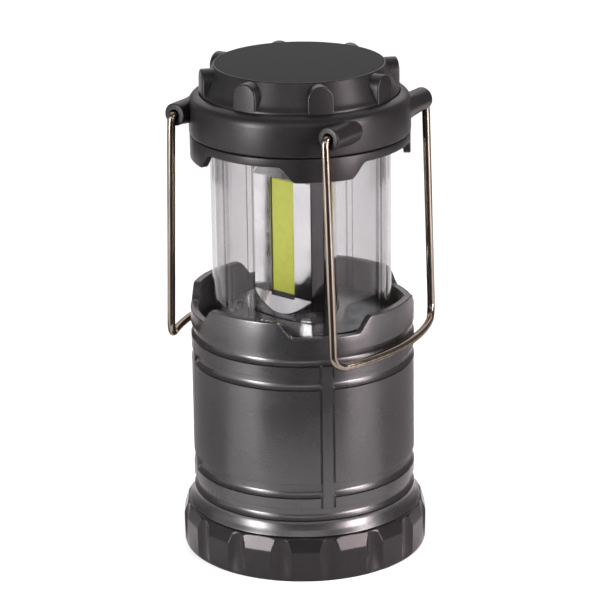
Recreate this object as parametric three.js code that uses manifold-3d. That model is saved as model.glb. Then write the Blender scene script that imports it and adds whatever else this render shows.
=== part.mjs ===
// Pop-up camping lantern: a round base that holds three AA cells and a head that pulls up out of it.
// The head carries a clear lens tube, a three-sided LED pillar and two wire bails.
// Units are millimetres. +Z is up and the origin is the centre of the underside.
// Azimuths are degrees from -Y, turning towards +X, so azimuth 90 is +X.

import * as THREE from 'three';
import { mergeVertices } from 'three/addons/utils/BufferGeometryUtils.js';
import Module from 'manifold-3d';

const wasm = await Module();
wasm.setup();

// ---------------------------------------------------------------- driving dimensions

const GAP = 0.3;
const ROUND_SIDES = 40;
const SMALL_SIDES = 14;

const QUARTERS = [0, 90, 180, 270];
const NOTCH_AZIMUTHS = [45, 135, 225, 315];
const LUG_AZIMUTHS = [0, 45, 90, 135, 180, 225, 270, 315];
const FACE_AZIMUTHS = [-7, 113, 233];
const CORNER_AZIMUTHS = [53, 173, 293];

const COVER_TOP = 15.6;
const COVER_FLOOR = 3.0;
const COVER_FLATS = 16;
const COVER_FLAT_RADIUS = 42.75;
const COVER_TOP_RADIUS = 41.2;
const COVER_CHAMFER_Z = 10.8;
const COVER_BORE_RADIUS = 39.0;
const COVER_FIRST_FLAT = 10.5;
const FLUTE_RADIUS = 4.9;
const FLUTE_FLOOR_RADIUS = 41.5;
const COVER_CORNER_RADIUS = 44.5;
const COVER_RECESS_RADIUS = 33.0;
const COVER_RECESS_DEPTH = 0.8;
const CONTACT_BOTTOM = COVER_FLOOR + GAP;
const CONTACT_TOP = CONTACT_BOTTOM + 0.4;
const CONTACT_PAD_RADIUS = 5.8;

const NECK_RADIUS = 38.5;
const NECK_BOTTOM = 4.9;
const NECK_BORE = 36.0;
const BODY_RADIUS = 38.85;
const BODY_BORE = 36.2;
const BODY_TOP = 92.4;
const FLARE_RADIUS = 40.9;
const GROOVE_DEPTH = 0.8;
const GROOVE_FLANK = 1.9;
const GROOVES = [[25.35, 21.2], [34.35, 29.6], [72.7, 68.8], [81.6, 77.4]];
const BRIDGED_GROOVES = [[34.35, 29.6], [72.7, 68.8]];
const STRIP_WIDTH = 4.5;
const STRIP_SUNK = 0.12;
const NOTCH_FLOOR = 87.0;
const NOTCH_TOP_HALF = 26;
const NOTCH_FLOOR_HALF = 17.5;
const LIP_BORE = 32.4;
const LIP_BOTTOM = 76.0;
const LIP_TOP = 80.0;
const LEDGE_BORE = 31.6;
const LEDGE_BOTTOM = 11.1;
const LEDGE_TOP = 16.4;

const HOLDER_RADIUS = 28.8;
const HOLDER_BOTTOM = 8.3;
const HOLDER_TOP = 83.5;
const HOLDER_FLANGE_RADIUS = 35.7;
const HOLDER_FLANGE_TOP = 10.8;
const CELL_CIRCLE = 20.6;
const CELL_RADIUS = 7.1;
const CELL_BAY_RADIUS = 7.5;
const CELL_BOTTOM = 8.4;
const CELL_TOP = 57.9;
const CELL_BAY_TOP = 60.2;
const WELL_FLOOR = 20.0;
const BOARD_RECESS_FLOOR = 81.3;
const FLANGE_SCREW_CIRCLE = 33.8;
const HEAD_SCREW_CIRCLE = 23.0;
const SCREW_RADIUS = 1.0;
const SCREW_HOLE_RADIUS = 1.3;
const SCREW_HEAD_RADIUS = 2.1;
const SCREW_HEAD_HEIGHT = 1.1;

const PLATE_BOTTOM = 83.8;
const PLATE_TOP = 84.4;
const PILLAR_APOTHEM = 10.2;
const PILLAR_HALF_WIDTH = 12.9;
const PILLAR_BULGE = 1.8;
const PILLAR_BOTTOM = 76.0;
const REFLECTOR_BOTTOM = 84.5;
const REFLECTOR_TOP = 148.9;
const CORE_APOTHEM = 7.0;
const CORE_HALF_WIDTH = 10.0;
const CORE_RIB_FOOT = 12.5;
const CORE_RIB_FOOT_HALF = 0.88;
const CORE_RIB_FACE = 15.9;
const CORE_RIB_FACE_HALF = 2.1;
const REFLECTOR_TAPER = 2.4;
const ALCOVE_BOTTOM = 92.5;
const ALCOVE_TOP = 134.0;
const ALCOVE_LOW_LIP = 86.0;
const ALCOVE_HIGH_LIP = 141.6;
const COB_WIDTH = 9.8;
const COB_THICKNESS = 0.9;
const COB_BOTTOM = 93.1;
const COB_TOP = 133.6;
const POCKET_FLOOR = 8.65;
const POCKET_BOTTOM = 91.6;
const WELL_CLEARANCE = 0.45;

const LENS_RADIUS = 31.0;
const LENS_BORE = 29.3;
const LENS_BOTTOM = 72.0;
const LENS_FOOT_TOP = 75.7;
const LENS_FOOT_RADIUS = 34.5;
const LENS_TOP = 149.3;
const LENS_FLANGE_BOTTOM = 148.1;
const LENS_FLANGE_RADIUS = 34.0;
const LENS_RIB_WIDTH = 2.4;
const LENS_RIB_RADIUS = 31.9;

const SKIRT_RADIUS = 37.7;
const SKIRT_BOTTOM = 146.2;
const SKIRT_TOP = 149.2;
const SKIRT_BORE = 32.3;
const TAB_BOTTOM = 140.9;
const TAB_TOP_HALF = 23.5;
const TAB_BOTTOM_HALF = 15.5;
const TAB_INNER_RADIUS = 35.2;

const HEAD_PLATE_BOTTOM = 149.6;
const HEAD_PLATE_TOP = 152.0;
const HEAD_PLATE_RADIUS = 35.5;
const BAND_RADIUS = 37.9;
const BAND_BORE = 35.9;
const BAND_BOTTOM = 149.6;
const BAND_TOP = 163.2;
const BAND_LIP_BOTTOM = 161.1;
const BAND_LIP_BORE = 34.2;
const CROWN_FOOT_RADIUS = 33.9;
const CROWN_TOP_RADIUS = 29.2;
const CROWN_FLANGE_RADIUS = 35.6;
const CROWN_BOTTOM = 158.9;
const CROWN_FLANGE_TOP = 160.8;
const CROWN_TOP = 172.9;
const CROWN_WALL = 2.0;
const BOSS_RADIUS = 2.6;
const HEAD_SCREW_TIP = 160;
const INLAY_RADIUS = 28.4;
const INLAY_THICKNESS = 1.1;
const CROWN_LUG_FACE = 34.0;
const CROWN_LUG_HALF_WIDTH = 4.5;
const CROWN_LUG_TOP = 171.9;

const PIVOT_X = 30.6;
const PIVOT_Z = 157.3;
const BARREL_RADIUS = 3.9;
const BARREL_END = 30.6;
const BARREL_HOLE_RADIUS = 1.75;
const BARREL_HOLE_END = 24.4;
const BARREL_INNER_END = 12;
const WEB_THICKNESS = 5.2;
const WEB_FOOT = 152.4;
const WIRE_RADIUS = 1.4;
const ARM_Y = 32.3;
const STUB_END = 25.0;
const STUB_BEND_RADIUS = 1.8;
const BAIL_CORNER_RADIUS = 5.0;
const BAIL_DROP = 79.1;
const BAIL_FOOT_X = 33.0;
const BAIL_BOW_X = 40.6;

// ---------------------------------------------------------------- materials

function plastic(colour, roughness) {
  return new THREE.MeshStandardMaterial({ color: colour, roughness, metalness: 0.0 });
}

function metal(colour, roughness) {
  return new THREE.MeshStandardMaterial({ color: colour, roughness, metalness: 1.0 });
}

const bodyPaint = () => plastic(0x57565a, 0.38);
const coverPaint = () => plastic(0x39383b, 0.25);
const mattePaint = () => plastic(0x424144, 0.75);
const innerBlack = () => plastic(0x1d1d1f, 0.6);
const clearPlastic = () => new THREE.MeshStandardMaterial({
  color: 0xdfe3e6, roughness: 0.08, metalness: 0.0, transparent: true, opacity: 0.35,
});
const chrome = () => metal(0xd9dadc, 0.08);
const nickelWire = () => metal(0x9a918b, 0.18);
const steel = () => metal(0x8d8f92, 0.3);
const brass = () => metal(0xb8964e, 0.3);
const phosphor = () => plastic(0xd4d846, 0.55);
const circuitGreen = () => plastic(0x1f5a35, 0.5);
const cellSleeve = () => plastic(0x2c4a6e, 0.35);
const softRubber = () => plastic(0x151515, 0.85);

// ---------------------------------------------------------------- solids

function toSolid(geometry) {
  const bare = geometry.clone();
  bare.deleteAttribute('normal');
  bare.deleteAttribute('uv');
  const merged = mergeVertices(bare, 1e-4);
  const corners = merged.index.array;
  const kept = [];
  for (let i = 0; i < corners.length; i += 3) {
    const [a, b, c] = [corners[i], corners[i + 1], corners[i + 2]];
    if (a !== b && b !== c && c !== a) kept.push(a, b, c);
  }
  const vertProperties = new Float32Array(merged.attributes.position.array);
  const build = (triangles) => new wasm.Manifold(
    new wasm.Mesh({ numProp: 3, vertProperties, triVerts: new Uint32Array(triangles) }),
  );
  const solid = build(kept);
  return solid.volume() > 0 ? solid : build(kept.reverse());
}

function toGeometry(solid) {
  const mesh = solid.getMesh();
  const geometry = new THREE.BufferGeometry();
  geometry.setAttribute('position', new THREE.BufferAttribute(new Float32Array(mesh.vertProperties), 3));
  geometry.setIndex(new THREE.BufferAttribute(new Uint32Array(mesh.triVerts), 1));
  geometry.computeVertexNormals();
  return geometry;
}

function joined(solids) {
  return solids.reduce((whole, solid) => whole.add(solid));
}

// A full turn of a profile of [radius, height] pairs about Z. A profile off the axis is closed here.
function turned(profile, sides = ROUND_SIDES, firstAzimuth = 0) {
  const points = profile.map(([radius, height]) => new THREE.Vector2(radius, height));
  const onAxis = profile[0][0] === 0 && profile.at(-1)[0] === 0;
  if (!onAxis) points.push(points[0].clone());
  const start = THREE.MathUtils.degToRad(firstAzimuth);
  const geometry = new THREE.LatheGeometry(points, sides, start);
  geometry.rotateX(Math.PI / 2);
  return toSolid(geometry);
}

function ring(inner, outer, bottom, top, sides = ROUND_SIDES) {
  return turned([[inner, bottom], [outer, bottom], [outer, top], [inner, top]], sides);
}

function rod(radius, bottom, top, sides = SMALL_SIDES) {
  return turned([[0, bottom], [radius, bottom], [radius, top], [0, top]], sides);
}

// A flat outline of [x, y] pairs, pushed up from one height to another.
function prism(outline, bottom, top) {
  const shape = new THREE.Shape(outline.map(([x, y]) => new THREE.Vector2(x, y)));
  const geometry = new THREE.ExtrudeGeometry(shape, { depth: top - bottom, bevelEnabled: false });
  geometry.translate(0, 0, bottom);
  return toSolid(geometry);
}

// An outline of [sideways, height] pairs, pushed out from the axis between two radii, at azimuth 0.
function outward(outline, inner, outer) {
  const shape = new THREE.Shape(outline.map(([side, height]) => new THREE.Vector2(side, height)));
  const geometry = new THREE.ExtrudeGeometry(shape, { depth: outer - inner, bevelEnabled: false });
  geometry.rotateX(Math.PI / 2);
  geometry.translate(0, -inner, 0);
  return toSolid(geometry);
}

function atAzimuth(solid, azimuth) {
  return solid.rotate([0, 0, azimuth]);
}

function polar(azimuth, radius) {
  const angle = THREE.MathUtils.degToRad(azimuth);
  return [radius * Math.sin(angle), -radius * Math.cos(angle)];
}

function movedTo(solid, azimuth, radius) {
  const [x, y] = polar(azimuth, radius);
  return solid.translate([x, y, 0]);
}

// A curve through a list of stations that samples each station exactly once.
class StationCurve extends THREE.Curve {
  constructor(stations) {
    super();
    this.stations = stations;
  }

  getPoint(t, target = new THREE.Vector3()) {
    const spans = this.stations.length - 1;
    const place = THREE.MathUtils.clamp(t, 0, 1) * spans;
    const first = Math.min(Math.floor(place), spans - 1);
    return target.lerpVectors(this.stations[first], this.stations[first + 1], place - first);
  }

  getUtoTmapping(u) {
    return u;
  }
}

function wire(stations, radius, sides) {
  const outline = [];
  for (let i = 0; i < sides; i += 1) {
    const angle = (2 * Math.PI * i) / sides;
    outline.push(new THREE.Vector2(radius * Math.cos(angle), radius * Math.sin(angle)));
  }
  const geometry = new THREE.ExtrudeGeometry(new THREE.Shape(outline), {
    steps: stations.length - 1, extrudePath: new StationCurve(stations), bevelEnabled: false,
  });
  return toSolid(geometry);
}

function part(name, solid, material) {
  const mesh = new THREE.Mesh(toGeometry(solid), material);
  mesh.name = name;
  return mesh;
}

// A group whose local -Y axis points out at the given azimuth.
function station(azimuth, ...meshes) {
  const group = new THREE.Group();
  group.rotation.z = THREE.MathUtils.degToRad(azimuth);
  group.add(...meshes);
  return group;
}

// ---------------------------------------------------------------- shared outlines

function arch(halfWidth, bottom, top, steps = 8) {
  const outline = [[-halfWidth, bottom], [halfWidth, bottom]];
  for (let i = 0; i <= steps; i += 1) {
    const angle = (Math.PI * i) / steps;
    outline.push([halfWidth * Math.cos(angle), top - halfWidth + halfWidth * Math.sin(angle)]);
  }
  return outline;
}

// A wide-topped trapezoid with its lower corners cut off, from half-widths given as azimuths.
function tongue(radius, topHalf, bottomHalf, bottom, top) {
  const wide = radius * Math.sin(THREE.MathUtils.degToRad(topHalf));
  const narrow = radius * Math.sin(THREE.MathUtils.degToRad(bottomHalf));
  const cut = 0.28 * (top - bottom);
  const side = narrow + 0.22 * (wide - narrow);
  return [
    [-wide, top], [-side, bottom + cut], [-narrow + cut, bottom],
    [narrow - cut, bottom], [side, bottom + cut], [wide, top],
  ];
}

// One bulged face of the pillar outline, seen from above, as [sideways, outward] pairs.
function bulgedFace(halfWidth, apothem, bulge, steps = 6) {
  const arcRadius = (halfWidth ** 2 + bulge ** 2) / (2 * bulge);
  const points = [];
  for (let i = 0; i <= steps; i += 1) {
    const side = halfWidth * (1 - (2 * i) / steps);
    const out = apothem + bulge - arcRadius + Math.sqrt(arcRadius ** 2 - side ** 2);
    points.push([side, out]);
  }
  return points;
}

// The closed bulged triangle that the pillar fills, grown by a clearance.
function pillarOutline(clearance) {
  const outline = [];
  for (const azimuth of FACE_AZIMUTHS) {
    const angle = THREE.MathUtils.degToRad(azimuth);
    const face = bulgedFace(PILLAR_HALF_WIDTH, PILLAR_APOTHEM + clearance, PILLAR_BULGE);
    for (const [side, out] of face.reverse()) {
      const x = side * Math.cos(angle) + out * Math.sin(angle);
      const y = side * Math.sin(angle) - out * Math.cos(angle);
      outline.push([x, y]);
    }
  }
  return outline;
}

// ---------------------------------------------------------------- battery cover

function coverShape() {
  const corner = 1 / Math.cos(Math.PI / COVER_FLATS);
  const firstCorner = COVER_FIRST_FLAT + 180 / COVER_FLATS;
  const faceted = turned([
    [0, 0], [(COVER_FLAT_RADIUS - 0.6) * corner, 0], [COVER_FLAT_RADIUS * corner, 0.6],
    [COVER_FLAT_RADIUS * corner, COVER_CHAMFER_Z], [COVER_TOP_RADIUS * corner, COVER_TOP], [0, COVER_TOP],
  ], COVER_FLATS, firstCorner);
  const rounding = turned([
    [0, -1], [COVER_CORNER_RADIUS, -1], [COVER_CORNER_RADIUS, COVER_CHAMFER_Z],
    [COVER_TOP_RADIUS + 0.1, COVER_TOP], [0, COVER_TOP],
  ]);
  let cover = faceted.intersect(rounding);
  const flute = rod(FLUTE_RADIUS, -1, COVER_TOP + 1, 20);
  for (let i = 0; i < COVER_FLATS; i += 1) {
    const azimuth = firstCorner + (360 * i) / COVER_FLATS;
    cover = cover.subtract(movedTo(flute, azimuth, FLUTE_FLOOR_RADIUS + FLUTE_RADIUS));
  }
  cover = cover.subtract(rod(COVER_BORE_RADIUS, COVER_FLOOR, COVER_TOP + 1, ROUND_SIDES));
  return cover.subtract(rod(COVER_RECESS_RADIUS, -1, COVER_RECESS_DEPTH, ROUND_SIDES));
}

function gasketShape() {
  return ring(NECK_BORE + 0.1, NECK_RADIUS - 0.1, COVER_FLOOR + GAP, NECK_BOTTOM - GAP);
}

// A strip of sheet metal with round ends under two neighbouring cells.
function bridgePlateShape() {
  const pad = rod(CONTACT_PAD_RADIUS, CONTACT_BOTTOM, CONTACT_TOP, 20);
  const [x1, y1] = polar(FACE_AZIMUTHS[0], CELL_CIRCLE);
  const [x2, y2] = polar(FACE_AZIMUTHS[1], CELL_CIRCLE);
  const length = Math.hypot(x2 - x1, y2 - y1);
  const bar = prism([[0, -2.5], [length, -2.5], [length, 2.5], [0, 2.5]], CONTACT_BOTTOM, CONTACT_TOP)
    .rotate([0, 0, THREE.MathUtils.radToDeg(Math.atan2(y2 - y1, x2 - x1))])
    .translate([x1, y1, 0]);
  return joined([pad.translate([x1, y1, 0]), pad.translate([x2, y2, 0]), bar]);
}

function padPlateShape() {
  const pad = rod(CONTACT_PAD_RADIUS, CONTACT_BOTTOM, CONTACT_TOP, 20);
  const tail = prism([[-2, 0], [2, 0], [2, -9], [-2, -9]], CONTACT_BOTTOM, CONTACT_TOP);
  return pad.add(tail).translate([0, -CELL_CIRCLE, 0]);
}

function springShape() {
  const wireRadius = 0.4;
  const turns = 2.5;
  const stepsPerTurn = 10;
  const low = CONTACT_TOP + GAP + wireRadius;
  const high = CELL_BOTTOM - GAP - wireRadius;
  const stations = [];
  for (let i = 0; i <= turns * stepsPerTurn; i += 1) {
    const share = i / (turns * stepsPerTurn);
    const angle = 2 * Math.PI * turns * share;
    const radius = 5.2 - 3.0 * share;
    stations.push(new THREE.Vector3(
      radius * Math.cos(angle), radius * Math.sin(angle) - CELL_CIRCLE, low + (high - low) * share,
    ));
  }
  return wire(stations, wireRadius, 5);
}

// ---------------------------------------------------------------- base

function shellShape() {
  const outside = [
    [NECK_RADIUS, NECK_BOTTOM], [NECK_RADIUS, COVER_TOP + GAP], [FLARE_RADIUS, COVER_TOP + GAP],
    [39.7, 17.6], [39.1, 19.4],
  ];
  for (const [top, bottom] of GROOVES) {
    outside.push([BODY_RADIUS, bottom], [BODY_RADIUS - GROOVE_DEPTH, bottom + GROOVE_FLANK]);
    outside.push([BODY_RADIUS - GROOVE_DEPTH, top - 0.2], [BODY_RADIUS, top]);
  }
  outside.push([BODY_RADIUS, BODY_TOP]);
  const inside = [
    [BODY_BORE, BODY_TOP], [BODY_BORE, LIP_TOP + 0.6], [LIP_BORE, LIP_TOP], [LIP_BORE, LIP_BOTTOM],
    [BODY_BORE, LIP_BOTTOM], [BODY_BORE, LEDGE_TOP], [LEDGE_BORE, LEDGE_TOP - 1.5],
    [LEDGE_BORE, LEDGE_BOTTOM], [NECK_BORE, LEDGE_BOTTOM], [NECK_BORE, NECK_BOTTOM],
  ];
  let shell = turned([...outside, ...inside]);
  const notch = outward(
    tongue(BODY_RADIUS, NOTCH_TOP_HALF + 1.5, NOTCH_FLOOR_HALF, NOTCH_FLOOR, BODY_TOP + 0.5), 32, 42,
  );
  const screwHole = rod(SCREW_HOLE_RADIUS, LEDGE_BOTTOM - 1, LEDGE_TOP + 1, 10);
  for (const azimuth of NOTCH_AZIMUTHS) {
    shell = shell.subtract(atAzimuth(notch, azimuth));
    for (const [top, bottom] of BRIDGED_GROOVES) {
      const half = STRIP_WIDTH / 2;
      const outline = [[-half, bottom - 0.5], [half, bottom - 0.5], [half, top + 0.5], [-half, top + 0.5]];
      const strip = outward(outline, BODY_RADIUS - 1.6, BODY_RADIUS - STRIP_SUNK);
      shell = shell.add(atAzimuth(strip, azimuth));
    }
  }
  for (const azimuth of CORNER_AZIMUTHS) {
    shell = shell.subtract(movedTo(screwHole, azimuth, FLANGE_SCREW_CIRCLE));
  }
  return shell;
}

function holderShape() {
  let holder = turned([
    [0, HOLDER_BOTTOM], [HOLDER_FLANGE_RADIUS, HOLDER_BOTTOM], [HOLDER_FLANGE_RADIUS, HOLDER_FLANGE_TOP],
    [HOLDER_RADIUS, HOLDER_FLANGE_TOP], [HOLDER_RADIUS, HOLDER_TOP], [0, HOLDER_TOP],
  ]);
  const bay = rod(CELL_BAY_RADIUS, HOLDER_BOTTOM - 1, CELL_BAY_TOP, 20);
  for (const azimuth of FACE_AZIMUTHS) {
    holder = holder.subtract(movedTo(bay, azimuth, CELL_CIRCLE));
  }
  const screwHole = rod(SCREW_HOLE_RADIUS, HOLDER_BOTTOM - 1, HOLDER_FLANGE_TOP + 1, 10);
  for (const azimuth of CORNER_AZIMUTHS) {
    holder = holder.subtract(movedTo(screwHole, azimuth, FLANGE_SCREW_CIRCLE));
  }
  holder = holder.subtract(prism(pillarOutline(WELL_CLEARANCE), WELL_FLOOR, HOLDER_TOP + 1));
  const contactSlot = outward([[-2.2, WELL_FLOOR], [2.2, WELL_FLOOR], [2.2, HOLDER_TOP - 2],
    [-2.2, HOLDER_TOP - 2]], 14, 17.9);
  for (const azimuth of CORNER_AZIMUTHS.slice(0, 2)) {
    holder = holder.subtract(atAzimuth(contactSlot, azimuth));
  }
  return holder.subtract(ring(18.7, 27.6, BOARD_RECESS_FLOOR, HOLDER_TOP + 1));
}

function boardShape() {
  const bottom = BOARD_RECESS_FLOOR + GAP;
  const board = ring(19.0, 27.3, bottom, bottom + 1.0, 32);
  const chip = prism([[-2.5, -25.4], [2.5, -25.4], [2.5, -21.4], [-2.5, -21.4]], bottom + 0.5, bottom + 1.7);
  const coil = movedTo(rod(2.2, bottom + 0.5, bottom + 1.8, 12), 120, 23.3);
  return joined([board, atAzimuth(chip, 45), atAzimuth(chip, 200), coil]);
}

function reflectorPlateShape() {
  const disc = turned([
    [0, PLATE_BOTTOM], [HOLDER_RADIUS - 0.2, PLATE_BOTTOM], [HOLDER_RADIUS - 0.2, PLATE_TOP], [0, PLATE_TOP],
  ]);
  return disc.subtract(prism(pillarOutline(WELL_CLEARANCE), PLATE_BOTTOM - 1, PLATE_TOP + 1));
}

function cellShape() {
  return turned([
    [0, CELL_BOTTOM], [CELL_RADIUS - 0.6, CELL_BOTTOM], [CELL_RADIUS, CELL_BOTTOM + 0.6],
    [CELL_RADIUS, CELL_TOP - 0.8], [CELL_RADIUS - 0.8, CELL_TOP], [2.6, CELL_TOP],
    [2.6, CELL_TOP + 1.0], [0, CELL_TOP + 1.0],
  ], SMALL_SIDES).translate([0, -CELL_CIRCLE, 0]);
}

function cellContactShape() {
  const bottom = CELL_TOP + 1.0 + GAP;
  return turned([[0, bottom], [5.5, bottom + 0.2], [5.5, bottom + 0.6], [0, bottom + 0.4]], SMALL_SIDES)
    .translate([0, -CELL_CIRCLE, 0]);
}

function wellContactShape() {
  return outward([[-1.8, WELL_FLOOR + GAP], [1.8, WELL_FLOOR + GAP], [1.8, HOLDER_TOP - 2.5],
    [-1.8, HOLDER_TOP - 2.5]], 17.1, 17.6);
}

// A pan-head screw that points up, with a slot in its head.
function screwShape(headBottom, tip, circle) {
  const head = turned([
    [0, headBottom], [SCREW_HEAD_RADIUS - 0.5, headBottom], [SCREW_HEAD_RADIUS, headBottom + 0.5],
    [SCREW_HEAD_RADIUS, headBottom + SCREW_HEAD_HEIGHT], [SCREW_RADIUS, headBottom + SCREW_HEAD_HEIGHT],
    [SCREW_RADIUS, tip - 0.6], [0, tip],
  ], 8);
  const slot = prism([[-1.2, -0.2], [1.2, -0.2], [1.2, 0.2], [-1.2, 0.2]], headBottom - 1, headBottom + 0.5);
  return head.subtract(slot).translate([0, -circle, 0]);
}

// ---------------------------------------------------------------- LED pillar

// A three-sided column with a rib at each corner that fills the gap between two bright faces.
function coreShape() {
  const flats = [];
  const add = (azimuth, side, out) => {
    const angle = THREE.MathUtils.degToRad(azimuth);
    flats.push([
      side * Math.cos(angle) + out * Math.sin(angle),
      side * Math.sin(angle) - out * Math.cos(angle),
    ]);
  };
  for (const azimuth of FACE_AZIMUTHS) {
    add(azimuth, -CORE_HALF_WIDTH, CORE_APOTHEM);
    add(azimuth, CORE_HALF_WIDTH, CORE_APOTHEM);
    add(azimuth + 60, -CORE_RIB_FOOT_HALF, CORE_RIB_FOOT);
    add(azimuth + 60, -CORE_RIB_FACE_HALF, CORE_RIB_FACE);
    add(azimuth + 60, CORE_RIB_FACE_HALF, CORE_RIB_FACE);
    add(azimuth + 60, CORE_RIB_FOOT_HALF, CORE_RIB_FOOT);
  }
  const column = prism(flats, PILLAR_BOTTOM, REFLECTOR_TOP + 0.4);
  const foot = prism(pillarOutline(0), PILLAR_BOTTOM, REFLECTOR_BOTTOM - GAP);
  const cutCorner = outward([[-6, PILLAR_BOTTOM - 1], [6, PILLAR_BOTTOM - 1], [6, REFLECTOR_BOTTOM],
    [-6, REFLECTOR_BOTTOM]], 15.6, 20);
  let core = column.add(foot);
  for (const azimuth of CORNER_AZIMUTHS) {
    core = core.subtract(atAzimuth(cutCorner, azimuth));
  }
  return core;
}

// One bright face: bulged at both ends and cut back to a flat alcove between them, with a pocket for
// the LED strip.
function reflectorShape() {
  const halfWidth = PILLAR_HALF_WIDTH - 0.25;
  const innerHalf = halfWidth - REFLECTOR_TAPER;
  const back = CORE_APOTHEM + GAP;
  const outline = bulgedFace(halfWidth, PILLAR_APOTHEM, PILLAR_BULGE).map(([side, out]) => [side, -out]);
  outline.push([-innerHalf, -back], [innerHalf, -back]);
  const block = prism(outline, REFLECTOR_BOTTOM, REFLECTOR_TOP);
  const far = PILLAR_APOTHEM + 1.25 * PILLAR_BULGE;
  const overrun = 0.25;
  const lowLip = ALCOVE_LOW_LIP - overrun * (ALCOVE_BOTTOM - ALCOVE_LOW_LIP);
  const highLip = ALCOVE_HIGH_LIP + overrun * (ALCOVE_HIGH_LIP - ALCOVE_TOP);
  const side = new THREE.Shape([
    new THREE.Vector2(PILLAR_APOTHEM, ALCOVE_BOTTOM), new THREE.Vector2(far, lowLip),
    new THREE.Vector2(far, highLip), new THREE.Vector2(PILLAR_APOTHEM, ALCOVE_TOP),
  ]);
  const width = 2 * PILLAR_HALF_WIDTH + 4;
  const cutter = new THREE.ExtrudeGeometry(side, { depth: width, bevelEnabled: false });
  cutter.rotateX(Math.PI / 2);
  cutter.rotateZ(-Math.PI / 2);
  cutter.translate(width / 2, 0, 0);
  const pocketHalf = COB_WIDTH / 2 + GAP;
  const pocket = outward([[-pocketHalf, POCKET_BOTTOM], [pocketHalf, POCKET_BOTTOM],
    [pocketHalf, COB_TOP + GAP], [-pocketHalf, COB_TOP + GAP]], POCKET_FLOOR, far);
  return block.subtract(toSolid(cutter)).subtract(pocket);
}

function cobShape() {
  const half = COB_WIDTH / 2;
  const inner = POCKET_FLOOR + GAP;
  return outward([[-half, COB_BOTTOM], [half, COB_BOTTOM], [half, COB_TOP], [-half, COB_TOP]],
    inner, inner + COB_THICKNESS);
}

function wiperShape() {
  return outward([[-1.2, PILLAR_BOTTOM + 1], [1.2, PILLAR_BOTTOM + 1], [1.2, PILLAR_BOTTOM + 4.5],
    [-1.2, PILLAR_BOTTOM + 4.5]], 15.9, 16.5);
}

// ---------------------------------------------------------------- head

function lensShape() {
  let lens = turned([
    [LENS_BORE, LENS_BOTTOM], [LENS_FOOT_RADIUS, LENS_BOTTOM], [LENS_FOOT_RADIUS, LENS_FOOT_TOP],
    [LENS_RADIUS, LENS_FOOT_TOP], [LENS_RADIUS, LENS_FLANGE_BOTTOM], [LENS_FLANGE_RADIUS, LENS_FLANGE_BOTTOM],
    [LENS_FLANGE_RADIUS, LENS_TOP], [LENS_BORE, LENS_TOP],
  ]);
  const half = LENS_RIB_WIDTH / 2;
  const rib = outward([[-half, LENS_BOTTOM + 1], [half, LENS_BOTTOM + 1], [half, LENS_TOP - 0.5],
    [-half, LENS_TOP - 0.5]], LENS_RADIUS - 1.0, LENS_RIB_RADIUS);
  for (const azimuth of QUARTERS) {
    lens = lens.add(atAzimuth(rib, azimuth));
  }
  return lens;
}

function skirtShape() {
  const annulusTop = LENS_FLANGE_BOTTOM - GAP;
  const body = turned([
    [SKIRT_BORE, SKIRT_BOTTOM], [SKIRT_RADIUS, SKIRT_BOTTOM], [SKIRT_RADIUS, SKIRT_TOP],
    [LENS_FLANGE_RADIUS + GAP, SKIRT_TOP], [LENS_FLANGE_RADIUS + GAP, annulusTop], [SKIRT_BORE, annulusTop],
  ]);
  const wall = ring(TAB_INNER_RADIUS, SKIRT_RADIUS, TAB_BOTTOM - 1, SKIRT_BOTTOM + 0.5);
  const tongueSolid = outward(
    tongue(SKIRT_RADIUS, TAB_TOP_HALF, TAB_BOTTOM_HALF, TAB_BOTTOM, SKIRT_BOTTOM + 0.5), 30, 42,
  );
  const tabs = NOTCH_AZIMUTHS.map((azimuth) => wall.intersect(atAzimuth(tongueSolid, azimuth)));
  return joined([body, ...tabs]);
}

function headPlateShape() {
  let plate = rod(HEAD_PLATE_RADIUS, HEAD_PLATE_BOTTOM, HEAD_PLATE_TOP, ROUND_SIDES);
  const hole = rod(SCREW_HOLE_RADIUS, HEAD_PLATE_BOTTOM - 1, HEAD_PLATE_TOP + 1, 10);
  for (const azimuth of FACE_AZIMUTHS) {
    plate = plate.subtract(movedTo(hole, azimuth, HEAD_SCREW_CIRCLE));
  }
  return plate.subtract(rod(3, HEAD_PLATE_BOTTOM - 1, HEAD_PLATE_TOP + 1, 12));
}

// A barrel along Y with a web below it, outside the band on the +X, -Y corner.
function barrelShape() {
  const barrel = rod(BARREL_RADIUS, BARREL_INNER_END, BARREL_END)
    .rotate([90, 0, 0])
    .translate([PIVOT_X, 0, PIVOT_Z]);
  const web = new THREE.Shape([
    new THREE.Vector2(-BARREL_END, PIVOT_Z), new THREE.Vector2(-BARREL_END, PIVOT_Z - 2.2),
    new THREE.Vector2(-21, WEB_FOOT), new THREE.Vector2(-BARREL_INNER_END, WEB_FOOT),
    new THREE.Vector2(-BARREL_INNER_END, PIVOT_Z),
  ]);
  const webGeometry = new THREE.ExtrudeGeometry(web, { depth: WEB_THICKNESS, bevelEnabled: false });
  webGeometry.rotateX(Math.PI / 2);
  webGeometry.rotateZ(Math.PI / 2);
  webGeometry.translate(PIVOT_X - WEB_THICKNESS / 2, 0, 0);
  return barrel.add(toSolid(webGeometry));
}

function barrelHoleShape() {
  return rod(BARREL_HOLE_RADIUS, BARREL_HOLE_END, BARREL_END + 2, 12)
    .rotate([90, 0, 0])
    .translate([PIVOT_X, 0, PIVOT_Z]);
}

function fourCorners(solid) {
  const mirroredY = solid.mirror([0, 1, 0]);
  return [solid, mirroredY, solid.mirror([1, 0, 0]), mirroredY.mirror([1, 0, 0])];
}

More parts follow.
